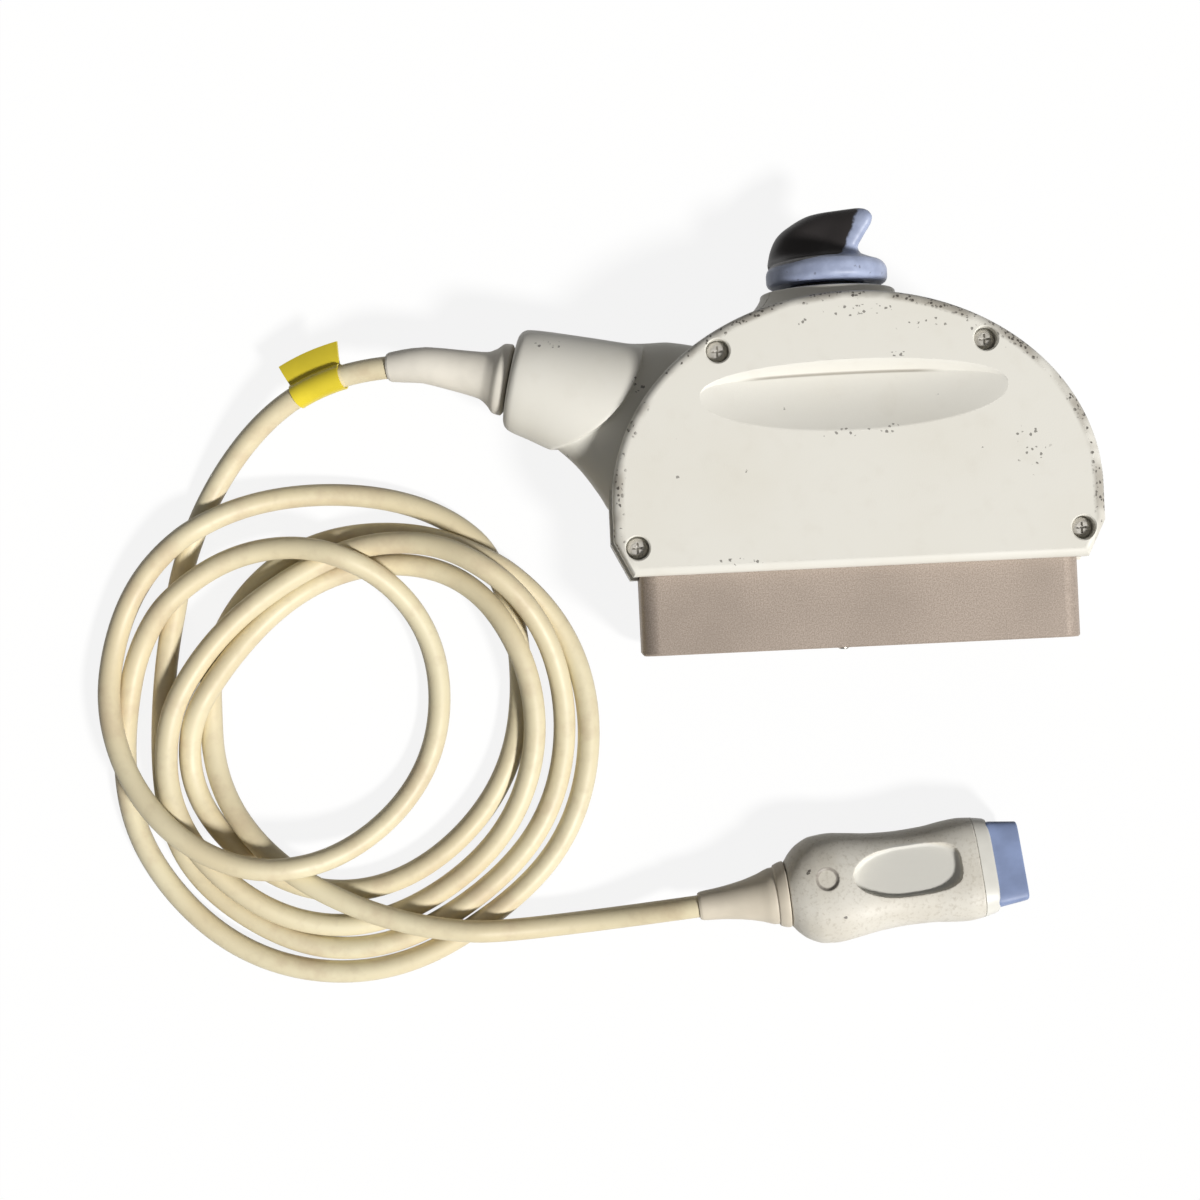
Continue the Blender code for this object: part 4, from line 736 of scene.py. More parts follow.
def housing_finish():
    """Moulded cream plastic: faintly mottled, chipped and darker in patches along its edges, marked in
    patches by use, with painted shade along the scoop's crease.
    """
    finish = Finish("housing_plastic")
    x, y, z = finish.axes()
    mottle = finish.noise(28.0, 4.0)
    fine = finish.noise(160.0, 3.0)
    base = finish.mix(mottle.between(0.35, 0.75) * 0.55, CREAM, CREAM_AGED)
    base = finish.mix(fine.between(0.5, 0.85) * 0.18, base, (0.66, 0.62, 0.54))
    arch = ((x / HOUSING_HALF_WIDTH) ** 2 + ((y - ARCH_FOOT_Y).most(0.0) / ARCH_RISE) ** 2).root()
    rounding = z.between(HOUSING_THICKNESS - 3.4, HOUSING_THICKNESS - 2.4)
    beside = arch.between(0.945, 0.968) * arch.between(1.02, 1.005)
    rim = rounding * beside
    worn = finish.noise(75.0, 3.0)
    marks = specks(finish, 950.0, worn.between(0.40, 0.72) * 0.7, 0.52) * rim
    # Darker patches along the arch's rounded edge.
    base = finish.mix(rim * worn.between(0.42, 0.66) * 0.55, base, EDGE_DARK_AND_CREASE_SHADE)
    for (across, up), (reach_x, reach_y), share in MARKED_PATCHES:
        away = (((x - across) / reach_x) ** 2 + ((y - up) / reach_y) ** 2).root()
        patch = away.between(1.1, 0.7) * share
        marks = marks.most(specks(finish, 800.0, patch, 0.40) * 0.8)
    marks = marks.most(specks(finish, 260.0, 0.05, 0.09) * 0.7)
    base = finish.mix(marks * 0.9, base, CHIP)
    full = (1 - (x / GRIP_HALF_LENGTH) ** 2).most(0.0)
    rim_rise = full**GRIP_RIM_POWER * (GRIP_RIM_Y - GRIP_END_Y)
    wall = full**GRIP_WALL_POWER * (GRIP_RIM_Y - GRIP_CREASE_Y)
    # Painted shade: a dark line along the crease under the scoop's brow, where shade falls.
    crease = (y - (rim_rise - wall) - GRIP_END_Y).size().between(0.6, 0.1) * z.between(44.6, 43.4)
    base = finish.mix(crease * (x + 3.0).size().between(30.0, 20.0) * 0.6, base, EDGE_DARK_AND_CREASE_SHADE)
    grain = finish.noise(2600.0, 2.0)
    normal = finish.bump(grain, 0.00002)
    return finish.finished(base, 0.40 + mottle * 0.12, normal=normal)


def plain_finish(name, color, roughness, metallic=0.0, grain=1500.0, depth=0.00001, vary=0.12):
    """A plain moulded or turned material with slight mottling and grain."""
    finish = Finish(name)
    mottle = finish.noise(90.0, 3.0)
    darker = tuple(c * (1 - vary) for c in color)
    base = finish.mix(mottle.between(0.3, 0.7), color, darker)
    normal = finish.bump(finish.noise(grain, 2.0), depth)
    return finish.finished(base, roughness + (mottle - 0.5) * 0.1, metallic, normal)


def handle_finish():
    """Moulded plastic of the transducer's body: freckled and greyed, but clean in the thumb rest."""
    finish = Finish("handle_plastic")
    settings = {"vector_type": "TEXTURE"}
    turn = (math.radians(PROBE_ROLL), 0.0, math.radians(PROBE_YAW))
    inputs = {"Vector": finish.place, "Location": Vector(PROBE_REAR) * MM, "Rotation": turn}
    along, across, up = finish.axes(finish.node("ShaderNodeMapping", settings, inputs).outputs[0])
    mottle = finish.noise(70.0, 4.0)
    fine = finish.noise(900.0, 3.0, 0.65)
    base = finish.mix(mottle.between(0.35, 0.7), (0.77, 0.745, 0.675), (0.70, 0.665, 0.585))
    base = finish.mix(fine.between(0.48, 0.75) * 0.42, base, (0.40, 0.355, 0.28))
    marks = specks(finish, 300.0, 0.03, 0.12)
    base = finish.mix(marks * 0.85, base, CHIP)
    rest_x = (along - THUMB_CENTRE[0]) / THUMB_HALF_LENGTH
    rest_y = (across - THUMB_CENTRE[1]) / THUMB_HALF_WIDTH
    rest = (rest_x**2 + rest_y**2).root().between(1.12, 1.0) * up.between(9.4, 9.0) * up.between(6.0, 7.0)
    base = finish.mix(rest, base, (0.72, 0.71, 0.66))
    away = ((along - DIMPLE_PLACE[0]) ** 2 + (across - DIMPLE_PLACE[1]) ** 2).root()
    ring = (away - DIMPLE_RADIUS * 0.88).size().between(0.7, 0.2) * up.between(8.0, 9.0)
    base = finish.mix(ring * (0.35 + fine * 0.6), base, (0.20, 0.17, 0.15))
    normal = finish.bump(fine, 0.00004)
    return finish.finished(base, 0.42 + fine * 0.12, normal=normal)


def shroud_finish():
    """Rough plated metal with a fine sandy grain."""
    finish = Finish("shroud_metal")
    grain = finish.noise(2600.0, 4.0, 0.75)
    cloud = finish.noise(35.0, 3.0)
    base = finish.mix(grain.between(0.35, 0.68), (0.35, 0.285, 0.235), (0.56, 0.475, 0.41))
    base = finish.mix(cloud.between(0.4, 0.8) * 0.35, base, (0.29, 0.24, 0.20))
    normal = finish.bump(grain, 0.00005)
    return finish.finished(base, 0.42 + grain * 0.2, 0.3, normal)


def cable_finish():
    """Yellowed jacket: mottled along its length and greyed where it rubs."""
    finish = Finish("cable_jacket")
    wide = finish.noise(22.0, 3.0)
    fine = finish.noise(240.0, 3.0)
    base = finish.mix(wide.between(0.3, 0.7), (0.80, 0.73, 0.515), (0.73, 0.635, 0.425))
    base = finish.mix(fine.between(0.5, 0.8) * 0.3, base, (0.56, 0.47, 0.31))
    rubbed = finish.noise(65.0, 4.0, 0.6)
    base = finish.mix(rubbed.between(0.48, 0.72) * 0.5, base, (0.58, 0.45, 0.30))
    normal = finish.bump(finish.noise(900.0, 2.0), 0.00002)
    return finish.finished(base, 0.38 + fine * 0.2, normal=normal)


# Where the painted shade on the fin's flank ends towards its tip, and how far below that it sweeps back
SHADE_EDGE_X = 1.2
SHADE_EDGE_Y = 55.9
SHADE_SWEEP = 4.4


def knob_finish():
    """Lavender plastic with dark scuffs, and painted shade on the fin's flank, framed by its tip and its
    foot.
    """
    finish = Finish("knob_plastic")
    x, y, z = finish.axes()
    mottle = finish.noise(260.0, 4.0, 0.6)
    base = finish.mix(mottle.between(0.3, 0.7), (0.42, 0.48, 0.66), (0.33, 0.38, 0.54))
    marks = specks(finish, 700.0, 0.10, 0.3)
    base = finish.mix(marks * 0.5, base, (0.10, 0.10, 0.13))
    # Painted shade: the fin's flank on the side away from the light is coloured near black, up to a line
    # from its tip to its foot.
    under = ((SHADE_EDGE_Y - y) / SHADE_SWEEP).most(0.0)
    limit = SHADE_EDGE_X + (y - SHADE_EDGE_Y) * 0.375 - under * under * 15.0
    ragged = (finish.noise(500.0, 2.0) - 0.5) * 2.0
    flank_shade = (limit - x + ragged).between(-0.5, 0.5) * y.between(KNOB_FACE_Y + 4.6, KNOB_FACE_Y + 5.6)
    base = finish.mix(flank_shade, base, (0.034, 0.030, 0.030))
    normal = finish.bump(mottle, 0.00006)
    return finish.finished(base, 0.36 + mottle * 0.15, normal=normal)


cream = housing_finish()
shroud_metal = shroud_finish()
jacket = cable_finish()
handle_cream = handle_finish()
knob_lavender = knob_finish()
nose_cream = plain_finish("nose_plastic", (0.80, 0.79, 0.735), 0.4)
# Both reliefs are of one cream rubber: the plug's is written lighter as a painted highlight, and the
# transducer's darker as painted shade.
boot_cream = plain_finish("boot_rubber", (0.86, 0.82, 0.73), 0.5)
probe_boot_cream = plain_finish("probe_boot_rubber", (0.74, 0.67, 0.55), 0.5)
lens_blue = plain_finish("lens_rubber", (0.27, 0.345, 0.57), 0.5, vary=0.25, grain=900.0, depth=0.00004)
black = plain_finish("black_plastic", (0.03, 0.03, 0.033), 0.5)
steel = plain_finish("steel", (0.55, 0.53, 0.50), 0.35, 1.0)
screw_steel = plain_finish("screw_steel", (0.58, 0.56, 0.52), 0.5, 0.5)
brass = plain_finish("bush_brass", (0.66, 0.50, 0.24), 0.35, 1.0)
tape_yellow = plain_finish("yellow_tape", (0.84, 0.68, 0.045), 0.35)
board_green = plain_finish("circuit_board", (0.04, 0.18, 0.08), 0.45)
ceramic = plain_finish("array_ceramic", (0.35, 0.33, 0.30), 0.6)
amber = plain_finish("flex_film", (0.55, 0.28, 0.05), 0.4)


# Camera, table and light


def build_camera():
    data = bpy.data.cameras.new("camera")
    data.lens = CAMERA_LENS
    data.sensor_width = SENSOR
    data.clip_start = 0.01
    data.clip_end = 20.0
    camera = bpy.data.objects.new("camera", data)
    camera.location = CAMERA_PLACE
    camera.rotation_euler = (0.0, 0.0, math.radians(CAMERA_TURN))
    bpy.context.scene.collection.objects.link(camera)
    bpy.context.scene.camera = camera


def build_floor():
    """A white table that keeps the object's soft shadow."""
    deselect_all()
    bpy.ops.mesh.primitive_plane_add(size=FLOOR_SIZE, location=(0, 0, -0.0002))
    floor = bpy.context.object
    floor.name = "table_top"
    material = bpy.data.materials.new("table_top")
    material.use_nodes = True
    nodes = material.node_tree.nodes
    links = material.node_tree.links
    nodes.clear()
    output = nodes.new("ShaderNodeOutputMaterial")
    path = nodes.new("ShaderNodeLightPath")
    bounced = nodes.new("ShaderNodeBsdfDiffuse")
    bounced.inputs["Color"].default_value = (FLOOR_BOUNCE, FLOOR_BOUNCE * 0.97, FLOOR_BOUNCE * 0.92, 1.0)
    seen = nodes.new("ShaderNodeBsdfDiffuse")
    seen.inputs["Color"].default_value = (1.0, 1.0, 1.0, 1.0)
    glow = nodes.new("ShaderNodeEmission")
    glow.inputs["Color"].default_value = (1.0, 1.0, 1.0, 1.0)
    shown = nodes.new("ShaderNodeMixShader")
    shown.inputs[0].default_value = FLOOR_SEEN
    links.new(seen.outputs[0], shown.inputs[1])
    links.new(glow.outputs[0], shown.inputs[2])
    camera_or_gloss = nodes.new("ShaderNodeMath")
    camera_or_gloss.operation = "MAXIMUM"
    links.new(path.outputs["Is Camera Ray"], camera_or_gloss.inputs[0])
    links.new(path.outputs["Is Glossy Ray"], camera_or_gloss.inputs[1])
    choice = nodes.new("ShaderNodeMixShader")
    links.new(camera_or_gloss.outputs[0], choice.inputs[0])
    links.new(bounced.outputs[0], choice.inputs[1])
    links.new(shown.outputs[0], choice.inputs[2])
    links.new(choice.outputs[0], output.inputs[0])
    floor.data.materials.append(material)


def build_light():
    world = bpy.data.worlds.new("studio")
    bpy.context.scene.world = world
    world.use_nodes = True
    tree = world.node_tree
    tree.nodes.clear()
    output = tree.nodes.new("ShaderNodeOutputWorld")
    sky = tree.nodes.new("ShaderNodeBackground")
    sky.inputs["Color"].default_value = (1.0, 0.985, 0.96, 1.0)
    sky.inputs["Strength"].default_value = SKY
    seen = tree.nodes.new("ShaderNodeBackground")
    seen.inputs["Strength"].default_value = 1.0
    path = tree.nodes.new("ShaderNodeLightPath")
    choice = tree.nodes.new("ShaderNodeMixShader")
    tree.links.new(path.outputs["Is Camera Ray"], choice.inputs[0])
    tree.links.new(sky.outputs[0], choice.inputs[1])
    tree.links.new(seen.outputs[0], choice.inputs[2])
    tree.links.new(choice.outputs[0], output.inputs[0])
    data = bpy.data.lights.new("window", "SUN")
    data.energy = SUN_STRENGTH
    data.angle = math.radians(SUN_SPREAD)
    data.color = (1.0, 0.985, 0.96)
    lamp = bpy.data.objects.new("window", data)
    lamp.rotation_euler = (0.0, math.radians(90 - SUN_HEIGHT), math.radians(SUN_FROM))
    bpy.context.scene.collection.objects.link(lamp)


# Cable


def probe_frame():
    """The transducer's own frame: +X towards its lens, +Z out of its upper shell."""
    roll = Matrix.Rotation(math.radians(PROBE_ROLL), 4, "X")
    yaw = Matrix.Rotation(math.radians(PROBE_YAW), 4, "Z")
    return Matrix.Translation(PROBE_REAR) @ yaw @ roll


def outlet_axis():
    angle = math.radians(OUTLET_ANGLE)
    return Vector((math.cos(angle), math.sin(angle), 0.0))


def eased(line):
    """Each place drawn halfway to the middle of its two neighbours."""
    result = line.copy()
    result[1:-1] = line[1:-1] * 0.5 + (line[:-2] + line[2:]) * 0.25
    return result


def parted(line, free):
    """Push turns of the cable that lie too close to each other apart, and keep them on the table."""
    index = np.arange(len(line))
    separate = np.abs(index[:, None] - index[None, :]) > CABLE_NEIGHBOURS
    for _ in range(CABLE_PARTING_PASSES):
        offset = line[:, None] - line[None, :]
        distance = np.linalg.norm(offset, axis=2)
        overlap = np.where(separate, np.maximum(CABLE_CLEARANCE - distance, 0.0), 0.0)
        touching = np.maximum((overlap > 0).sum(axis=1), 1)
        push = (offset * (overlap / np.maximum(distance, 1e-6))[..., None]).sum(axis=1)
        line[free] = eased(line + push / touching[:, None] * 1.2)[free]
        line[:, 2] = np.maximum(line[:, 2], CABLE_RADIUS + CABLE_LIFT)


def cable_line():
    """The cable's centre line: a smooth curve through its points, with its sharp bends eased."""
    end = Vector(OUTLET_END)
    points = [end + outlet_axis() * s for s in (-CABLE_STRAIGHT, 0.0, CABLE_STRAIGHT)]
    points += [Vector(p) for p in CABLE_ROUTE]
    relief = PROBE_BOOT_PROFILE[-1][0]
    for s in (relief, relief / 2, 0.0, -CABLE_INTO_PROBE):
        points.append(probe_frame() @ Vector((-s, 0, 0)))
    path = Path(smooth_curve(points))
    count = round(path.length / CABLE_SPACING)
    line = np.array([path.at(path.length * i / count) for i in range(count + 1)])
    first = round((CABLE_INTO_PROBE + relief + 2 * CABLE_SPACING) / CABLE_SPACING)
    free = slice(first, count - first)
    for _ in range(CABLE_SMOOTHING):
        line[free] = eased(line)[free]
    parted(line, free)
    return Path([Vector(place) for place in line])


def build_cable():
    data = bpy.data.curves.new("cable_tube", "CURVE")
    data.dimensions = "3D"
    data.bevel_depth = CABLE_RADIUS * MM
    data.bevel_resolution = 6
    data.use_fill_caps = True
    spline = data.splines.new("POLY")
    spline.points.add(len(cable.points) - 1)
    for point, place in zip(spline.points, cable.points):
        point.co = (*(place * MM), 1.0)
    spline.use_smooth = True
    piece = bpy.data.objects.new("cable_tube", data)
    bpy.context.scene.collection.objects.link(piece)
    data.materials.append(jacket)
    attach(piece, "plug")
    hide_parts("cable")
    return piece


def sleeve(name, path, profile, start):
    """A relief round the cable that bends with it, its outside turned from a profile."""
    outer = []
    inner = []
    for distance, radius in through(profile, 4):
        tangent = path.tangent(start + distance)
        left = Vector((0, 0, 1)).cross(tangent).normalized()
        up = tangent.cross(left)
        centre = path.at(start + distance)
        outer.append(circle(centre, left, up, radius, BOOT_POINTS))
        inner.append(circle(centre, left, up, CABLE_BORE, BOOT_POINTS))
    return loft(name, outer + inner[::-1], "joined")


# Plug housing


def housing_outline():
    """The plug's outline seen from the front, counterclockwise from its lower right corner."""
    points = [(BOTTOM_HALF_WIDTH, HOUSING_BOTTOM_Y), (HOUSING_HALF_WIDTH, CORNER_TOP_Y)]
    for i in range(ARCH_POINTS + 1):
        angle = math.pi * i / ARCH_POINTS
        x = HOUSING_HALF_WIDTH * math.cos(angle)
        y = ARCH_FOOT_Y + ARCH_RISE * math.sin(angle)
        points.append((x, y))
    points += [(-HOUSING_HALF_WIDTH, CORNER_TOP_Y), (-BOTTOM_HALF_WIDTH, HOUSING_BOTTOM_Y)]
    return points


def outline_ring(inset, z):
    return [(x, y, z) for x, y in inset_loop(housing_outline(), inset)]


def rounded_edge(face_z, inwards, start_inset):
    """Rings of a rounded edge from a flat face round to the side wall."""
    rings = []
    for i in range(EDGE_POINTS + 1):
        angle = math.pi / 2 * i / EDGE_POINTS
        inset = start_inset + EDGE_RADIUS * (1 - math.sin(angle))
        depth = EDGE_RADIUS * (1 - math.cos(angle))
        rings.append(outline_ring(inset, face_z + inwards * depth))
    return rings


def collar_half(name, height, keep_above):
    """The flared boss under the knob, or its share in one cover."""
    steps = 14
    loops = []
    for i in range(steps + 1):
        t = i / steps
        flare = (1 - t) ** 1.5
        width = COLLAR_TOP_HALF_WIDTH + (COLLAR_FOOT_HALF_WIDTH - COLLAR_TOP_HALF_WIDTH) * flare
        depth = COLLAR_TOP_HALF_DEPTH + (COLLAR_FOOT_HALF_DEPTH - COLLAR_TOP_HALF_DEPTH) * flare
        y = COLLAR_FOOT_Y + (COLLAR_TOP_Y - COLLAR_EDGE - COLLAR_FOOT_Y) * t
        loops.append([(LOCK_X + a, y, LOCK_Z + b) for a, b in superellipse(width, depth, 2.0, 96)])
    for i in range(1, 5):
        angle = math.pi / 2 * i / 4
        inset = COLLAR_EDGE * (1 - math.cos(angle))
        y = COLLAR_TOP_Y - COLLAR_EDGE * (1 - math.sin(angle))
        ring = superellipse(width - inset, depth - inset, 2.0, 96)
        loops.append([(LOCK_X + a, y, LOCK_Z + b) for a, b in ring])
    return sliced(loft(name, loops), height, keep_above)


def outlet_rings(sections, grow=0.0):
    """Rings across the cable outlet, each reaching differently up and down in plan."""
    axis = outlet_axis()
    across = Vector((axis.y, -axis.x, 0.0))
    rings = []
    for inwards, reach_up, reach_down, half_depth in through(sections, 5):
        centre = Vector(OUTLET_END) - axis * inwards + across * ((reach_up - reach_down) / 2)
        half = (reach_up + reach_down) / 2 + grow
        ring = []
        for a, b in superellipse(half, half_depth + grow, 2.0, OUTLET_POINTS):
            ring.append(centre + across * a + Vector((0, 0, b)))
        rings.append(ring)
    return rings


def outlet_barrel(grow=0.0):
    """The barrel, its inner end rounded off in plan by an upright cylinder."""
    axis = outlet_axis()
    across = Vector((axis.y, -axis.x, 0.0))
    barrel = loft("outlet_barrel", outlet_rings(BARREL_SECTIONS, grow))
    centre = Vector(OUTLET_END) - axis * LIP_INWARDS + across * LIP_ACROSS
    limit = pin(centre, -HOUSING_THICKNESS, 2 * HOUSING_THICKNESS, LIP_RADIUS + grow, 160)
    return combine(barrel, limit, "INTERSECT")


def bush_hole():
    profile = ((0.0, BUSH_HOLE_RADIUS), (13.0, BUSH_HOLE_RADIUS))
    return turned("bush_hole", (LOCK_X, BUSH_HOLE_START, LOCK_Z), (0, 1, 0), profile, 48)


def shroud_opening(low_z, high_z):
    low = (-SHROUD_REACH, HOUSING_BOTTOM_Y - 2, low_z)
    return block(low, (SHROUD_REACH, HOUSING_BOTTOM_Y + WALL + 1.0, high_z))


def build_rear_cover():
    outlet = loft("outlet_web", outlet_rings(WEB_SECTIONS))
    combine(outlet, outlet_barrel(), "UNION")
    softened(outlet, 0.5, 5)
    inside = [outline_ring(WALL, z) for z in (WALL, HOUSING_THICKNESS + 5)]
    combine(outlet, loft("inside", inside))
    hole = ((-1.0, OUTLET_HOLE_RADIUS), (OUTLET_HOLE_DEPTH, OUTLET_HOLE_RADIUS))
    combine(outlet, turned("hole", OUTLET_END, -outlet_axis(), hole, 48))
    rings = rounded_edge(0.0, 1, -REAR_STEP)
    rings.append(outline_ring(-REAR_STEP, SPLIT_Z))
    rings.append(outline_ring(WALL, SPLIT_Z))
    rings.append(outline_ring(WALL, WALL))
    cover = loft("rear_cover_shell", rings)
    for place in SCREW_PLACES:
        combine(cover, pin(place, WALL / 2, SPLIT_Z, BOSS_RADIUS, 24), "UNION")
    combine(cover, collar_half("rear_collar", SPLIT_Z, False), "UNION")
    combine(cover, bush_hole())
    combine(cover, shroud_opening(SHROUD_LOW_Z, SPLIT_Z + 1))
    combine(cover, outlet, "UNION")
    return dress(cover, ["rear_cover"], cream)


def grip_scoop():
    """The finger scoop: a slope that falls towards the brow, a crease, and a wall that rolls back up."""
    top = HOUSING_THICKNESS + 0.02
    rings = []
    for i in range(GRIP_STATIONS + 1):
        share = math.sin(math.pi * (i / GRIP_STATIONS - 0.5)) * 0.9995
        full = 1 - share * share
        low = GRIP_END_Y + (GRIP_LOW_Y - GRIP_END_Y) * full**GRIP_LOW_POWER
        rim = GRIP_END_Y + (GRIP_RIM_Y - GRIP_END_Y) * full**GRIP_RIM_POWER
        crease = rim - (GRIP_RIM_Y - GRIP_CREASE_Y) * full**GRIP_WALL_POWER
        depth = GRIP_DEPTH * full**GRIP_DEPTH_POWER
        section = [(low, top)]
        for k in range(1, GRIP_FLOOR_STEPS + 1):
            t = k / GRIP_FLOOR_STEPS
            fall = math.sin(math.pi / 2 * t) ** GRIP_FLOOR_CURVE
            section.append((low + (crease - low) * t, top - depth * fall))
        for k in range(1, GRIP_WALL_STEPS + 1):
            t = k / GRIP_WALL_STEPS
            section.append((crease + (rim - crease) * t, top - depth * (1 - t) ** GRIP_WALL_CURVE))
        section += [(rim, top + 1.0), (low, top + 1.0)]
        rings.append([(GRIP_HALF_LENGTH * share, y, z) for y, z in section])
    return loft("grip_scoop", rings)


def grip_pocket():
    """The scoop's underside, one wall below it."""
    middle = (GRIP_LOW_Y + GRIP_RIM_Y) / 2
    half_height = (GRIP_RIM_Y - GRIP_LOW_Y) / 2
    rings = []
    for level, share in ((0.0, 1.0), (0.5, 0.95), (1.0, 0.85)):
        z = HOUSING_THICKNESS - WALL / 2 - (GRIP_DEPTH + WALL / 2) * level
        oval = superellipse(GRIP_HALF_LENGTH * share + WALL, half_height * share + WALL, 2.2, 64)
        rings.append([(x, middle + y, z) for x, y in oval])
    return loft("grip_pocket", rings)


def build_front_cover():
    inner_top = HOUSING_THICKNESS - WALL
    base = SPLIT_Z + GAP
    rings = [outline_ring(WALL, inner_top), outline_ring(WALL, base), outline_ring(0.0, base)]
    rings += reversed(rounded_edge(HOUSING_THICKNESS, -1, 0.0))
    cover = loft("front_cover_shell", rings)
    combine(cover, grip_pocket(), "UNION")
    for place in SCREW_PLACES:
        combine(cover, pin(place, base, inner_top + WALL / 2, BOSS_RADIUS), "UNION")
    combine(cover, collar_half("front_collar", base, True), "UNION")
    combine(cover, grip_scoop())
    combine(cover, loft("web_clearance", outlet_rings(WEB_SECTIONS, GAP)))
    combine(cover, outlet_barrel(GAP))
    combine(cover, bush_hole())
    combine(cover, shroud_opening(SPLIT_Z - 1, SHROUD_HIGH_Z))
    seat = HOUSING_THICKNESS - COUNTERBORE_DEPTH
    profile = (
        (base - 1, SCREW_SHANK_RADIUS),
        (seat, SCREW_SHANK_RADIUS),
        (seat, COUNTERBORE_RADIUS),
        (HOUSING_THICKNESS - 0.4, COUNTERBORE_RADIUS),
        (HOUSING_THICKNESS + 0.1, COUNTERBORE_RADIUS + 0.5),
        (HOUSING_THICKNESS + 1.0, COUNTERBORE_RADIUS + 0.5),
    )
    for place in SCREW_PLACES:
        combine(cover, turned("screw_hole", (*place, 0.0), (0, 0, 1), profile, 48))
    return dress(cover, ["front_cover"], cream)


def fin_ring(height, back, forward, half_back, half_tip):
    """One level of the grip fin: stout at its back and thin at its tip."""
    angle = math.radians(FIN_ANGLE)
    along = Vector((math.cos(angle), 0, math.sin(angle)))
    across = Vector((-math.sin(angle), 0, math.cos(angle)))
    centre = Vector((LOCK_X, KNOB_FACE_Y + KNOB_DISC + height, LOCK_Z))
    ring = []
    for a, b in superellipse(1.0, 1.0, 2.6, 96):
        t = min(max(0.75 + 0.75 * a, 0.0), 1.0)
        half = half_back + (half_tip - half_back) * t * t * (3 - 2 * t)
        reach = (forward - back) / 2 + a * (forward + back) / 2
        ring.append(centre + along * reach + across * (b * half))
    return ring


def build_knob():
    """The disc and its fin melted into one moulding, over a bore for the shaft."""
    profile = (
        (0, KNOB_RADIUS - KNOB_EDGE),
        (KNOB_EDGE * 0.3, KNOB_RADIUS - KNOB_EDGE * 0.3),
        (KNOB_EDGE, KNOB_RADIUS),
        (KNOB_DISC - 2 * KNOB_EDGE, KNOB_RADIUS),
        (KNOB_DISC - KNOB_EDGE * 0.6, KNOB_RADIUS - KNOB_EDGE * 0.7),
        (KNOB_DISC, KNOB_RADIUS - KNOB_EDGE * 2.2),
    )
    face = (LOCK_X, KNOB_FACE_Y, LOCK_Z)
    knob = turned("winged_knob", face, (0, 1, 0), through(profile, 3), 96)
    combine(knob, loft("fin", [fin_ring(*row) for row in through(FIN_SECTIONS, 5)]), "UNION")
    softened(knob, 0.4, 4)
    bore = ((-1, KNOB_BORE_RADIUS), (KNOB_BORE_DEPTH, KNOB_BORE_RADIUS))
    combine(knob, turned("bore", face, (0, 1, 0), bore, 48))
    return dress(knob, ["lock_knob"], knob_lavender, 50.0)


# Transducer


def on_probe(rings):
    place = probe_frame()
    return [[place @ Vector(point) for point in ring] for ring in rings]


def half_body(name, sign, inset, ends=0.0):
    """One half of the handle's body, cut along its middle plane."""
    rows = through(SHELL_SECTIONS, 5)
    rings = []
    for i, (forward, half_width, half_thickness, power) in enumerate(rows):
        if i == 0:
            forward -= ends
        if i == len(rows) - 1:
            forward += ends
        full = superellipse(half_width - inset, half_thickness - inset, power, SHELL_POINTS)
        foot = SEAM - ends
        arc = [(forward, a, sign * (max(b, 0.0) + SEAM)) for a, b in full[: SHELL_POINTS // 2 + 1]]
        rings.append([(forward, arc[0][1], sign * foot)] + arc + [(forward, arc[-1][1], sign * foot)])
    return loft(name, on_probe(rings))


def thumb_ring(z, share, grow=0.0):
    """The thumb rest's outline at one level: blunt towards the lens and round towards the cable."""
    ring = []
    for i in range(THUMB_POINTS):
        angle = 2 * math.pi * i / THUMB_POINTS
        c = math.cos(angle)
        s = math.sin(angle)
        power = 3.4 if c > 0 else 2.1
        x = (THUMB_HALF_LENGTH * share + grow) * math.copysign(abs(c) ** (2 / power), c)
        y = (THUMB_HALF_WIDTH * share + grow) * math.copysign(abs(s) ** (2 / power), s)
        ring.append((THUMB_CENTRE[0] + x, THUMB_CENTRE[1] + y, z))
    return ring


def build_handle():
    top = SHELL_SECTIONS[3][2]
    for name, node, sign in (
        ("upper_handle", "handle_shell_upper", 1),
        ("lower_handle", "handle_shell_lower", -1),
    ):
        shell = half_body(name, sign, 0.0)
        room = half_body("room", sign, SHELL_WALL, 1.0)
        if sign > 0:
            floor = THUMB_FLOOR_Z - THUMB_PAN_WALL
            pan = [thumb_ring(z, 0.88, THUMB_PAN_WALL) for z in (floor, top + 2)]
            combine(room, loft("pan", on_probe(pan)))
        combine(shell, room)
        if sign > 0:
            floor = THUMB_FLOOR_Z
            levels = (
                (top + 3, 1.0),
                (floor + 1.4, 1.0),
                (floor + 0.7, 0.975),
                (floor + 0.2, 0.93),
                (floor, 0.88),
            )
            combine(shell, loft("rest", on_probe([thumb_ring(z, share) for z, share in levels])))
            dish = ((-DIMPLE_DEPTH, DIMPLE_RADIUS * 0.8), (0.0, DIMPLE_RADIUS), (2.0, DIMPLE_RADIUS))
            turn = probe_frame()
            place = turn @ Vector((*DIMPLE_PLACE, top - 0.1))
            combine(shell, turned("dish", place, turn.to_3x3() @ Vector((0, 0, 1)), dish, 48))
            softened(shell, 0.3, 4)
        dress(shell, [node], handle_cream, 50.0)


def section_ring(forward, size, inset=0.0, power=None):
    ring = superellipse(size[0] - inset, size[1] - inset, power or size[2], SHELL_POINTS)
    return [(forward, a, b) for a, b in ring]


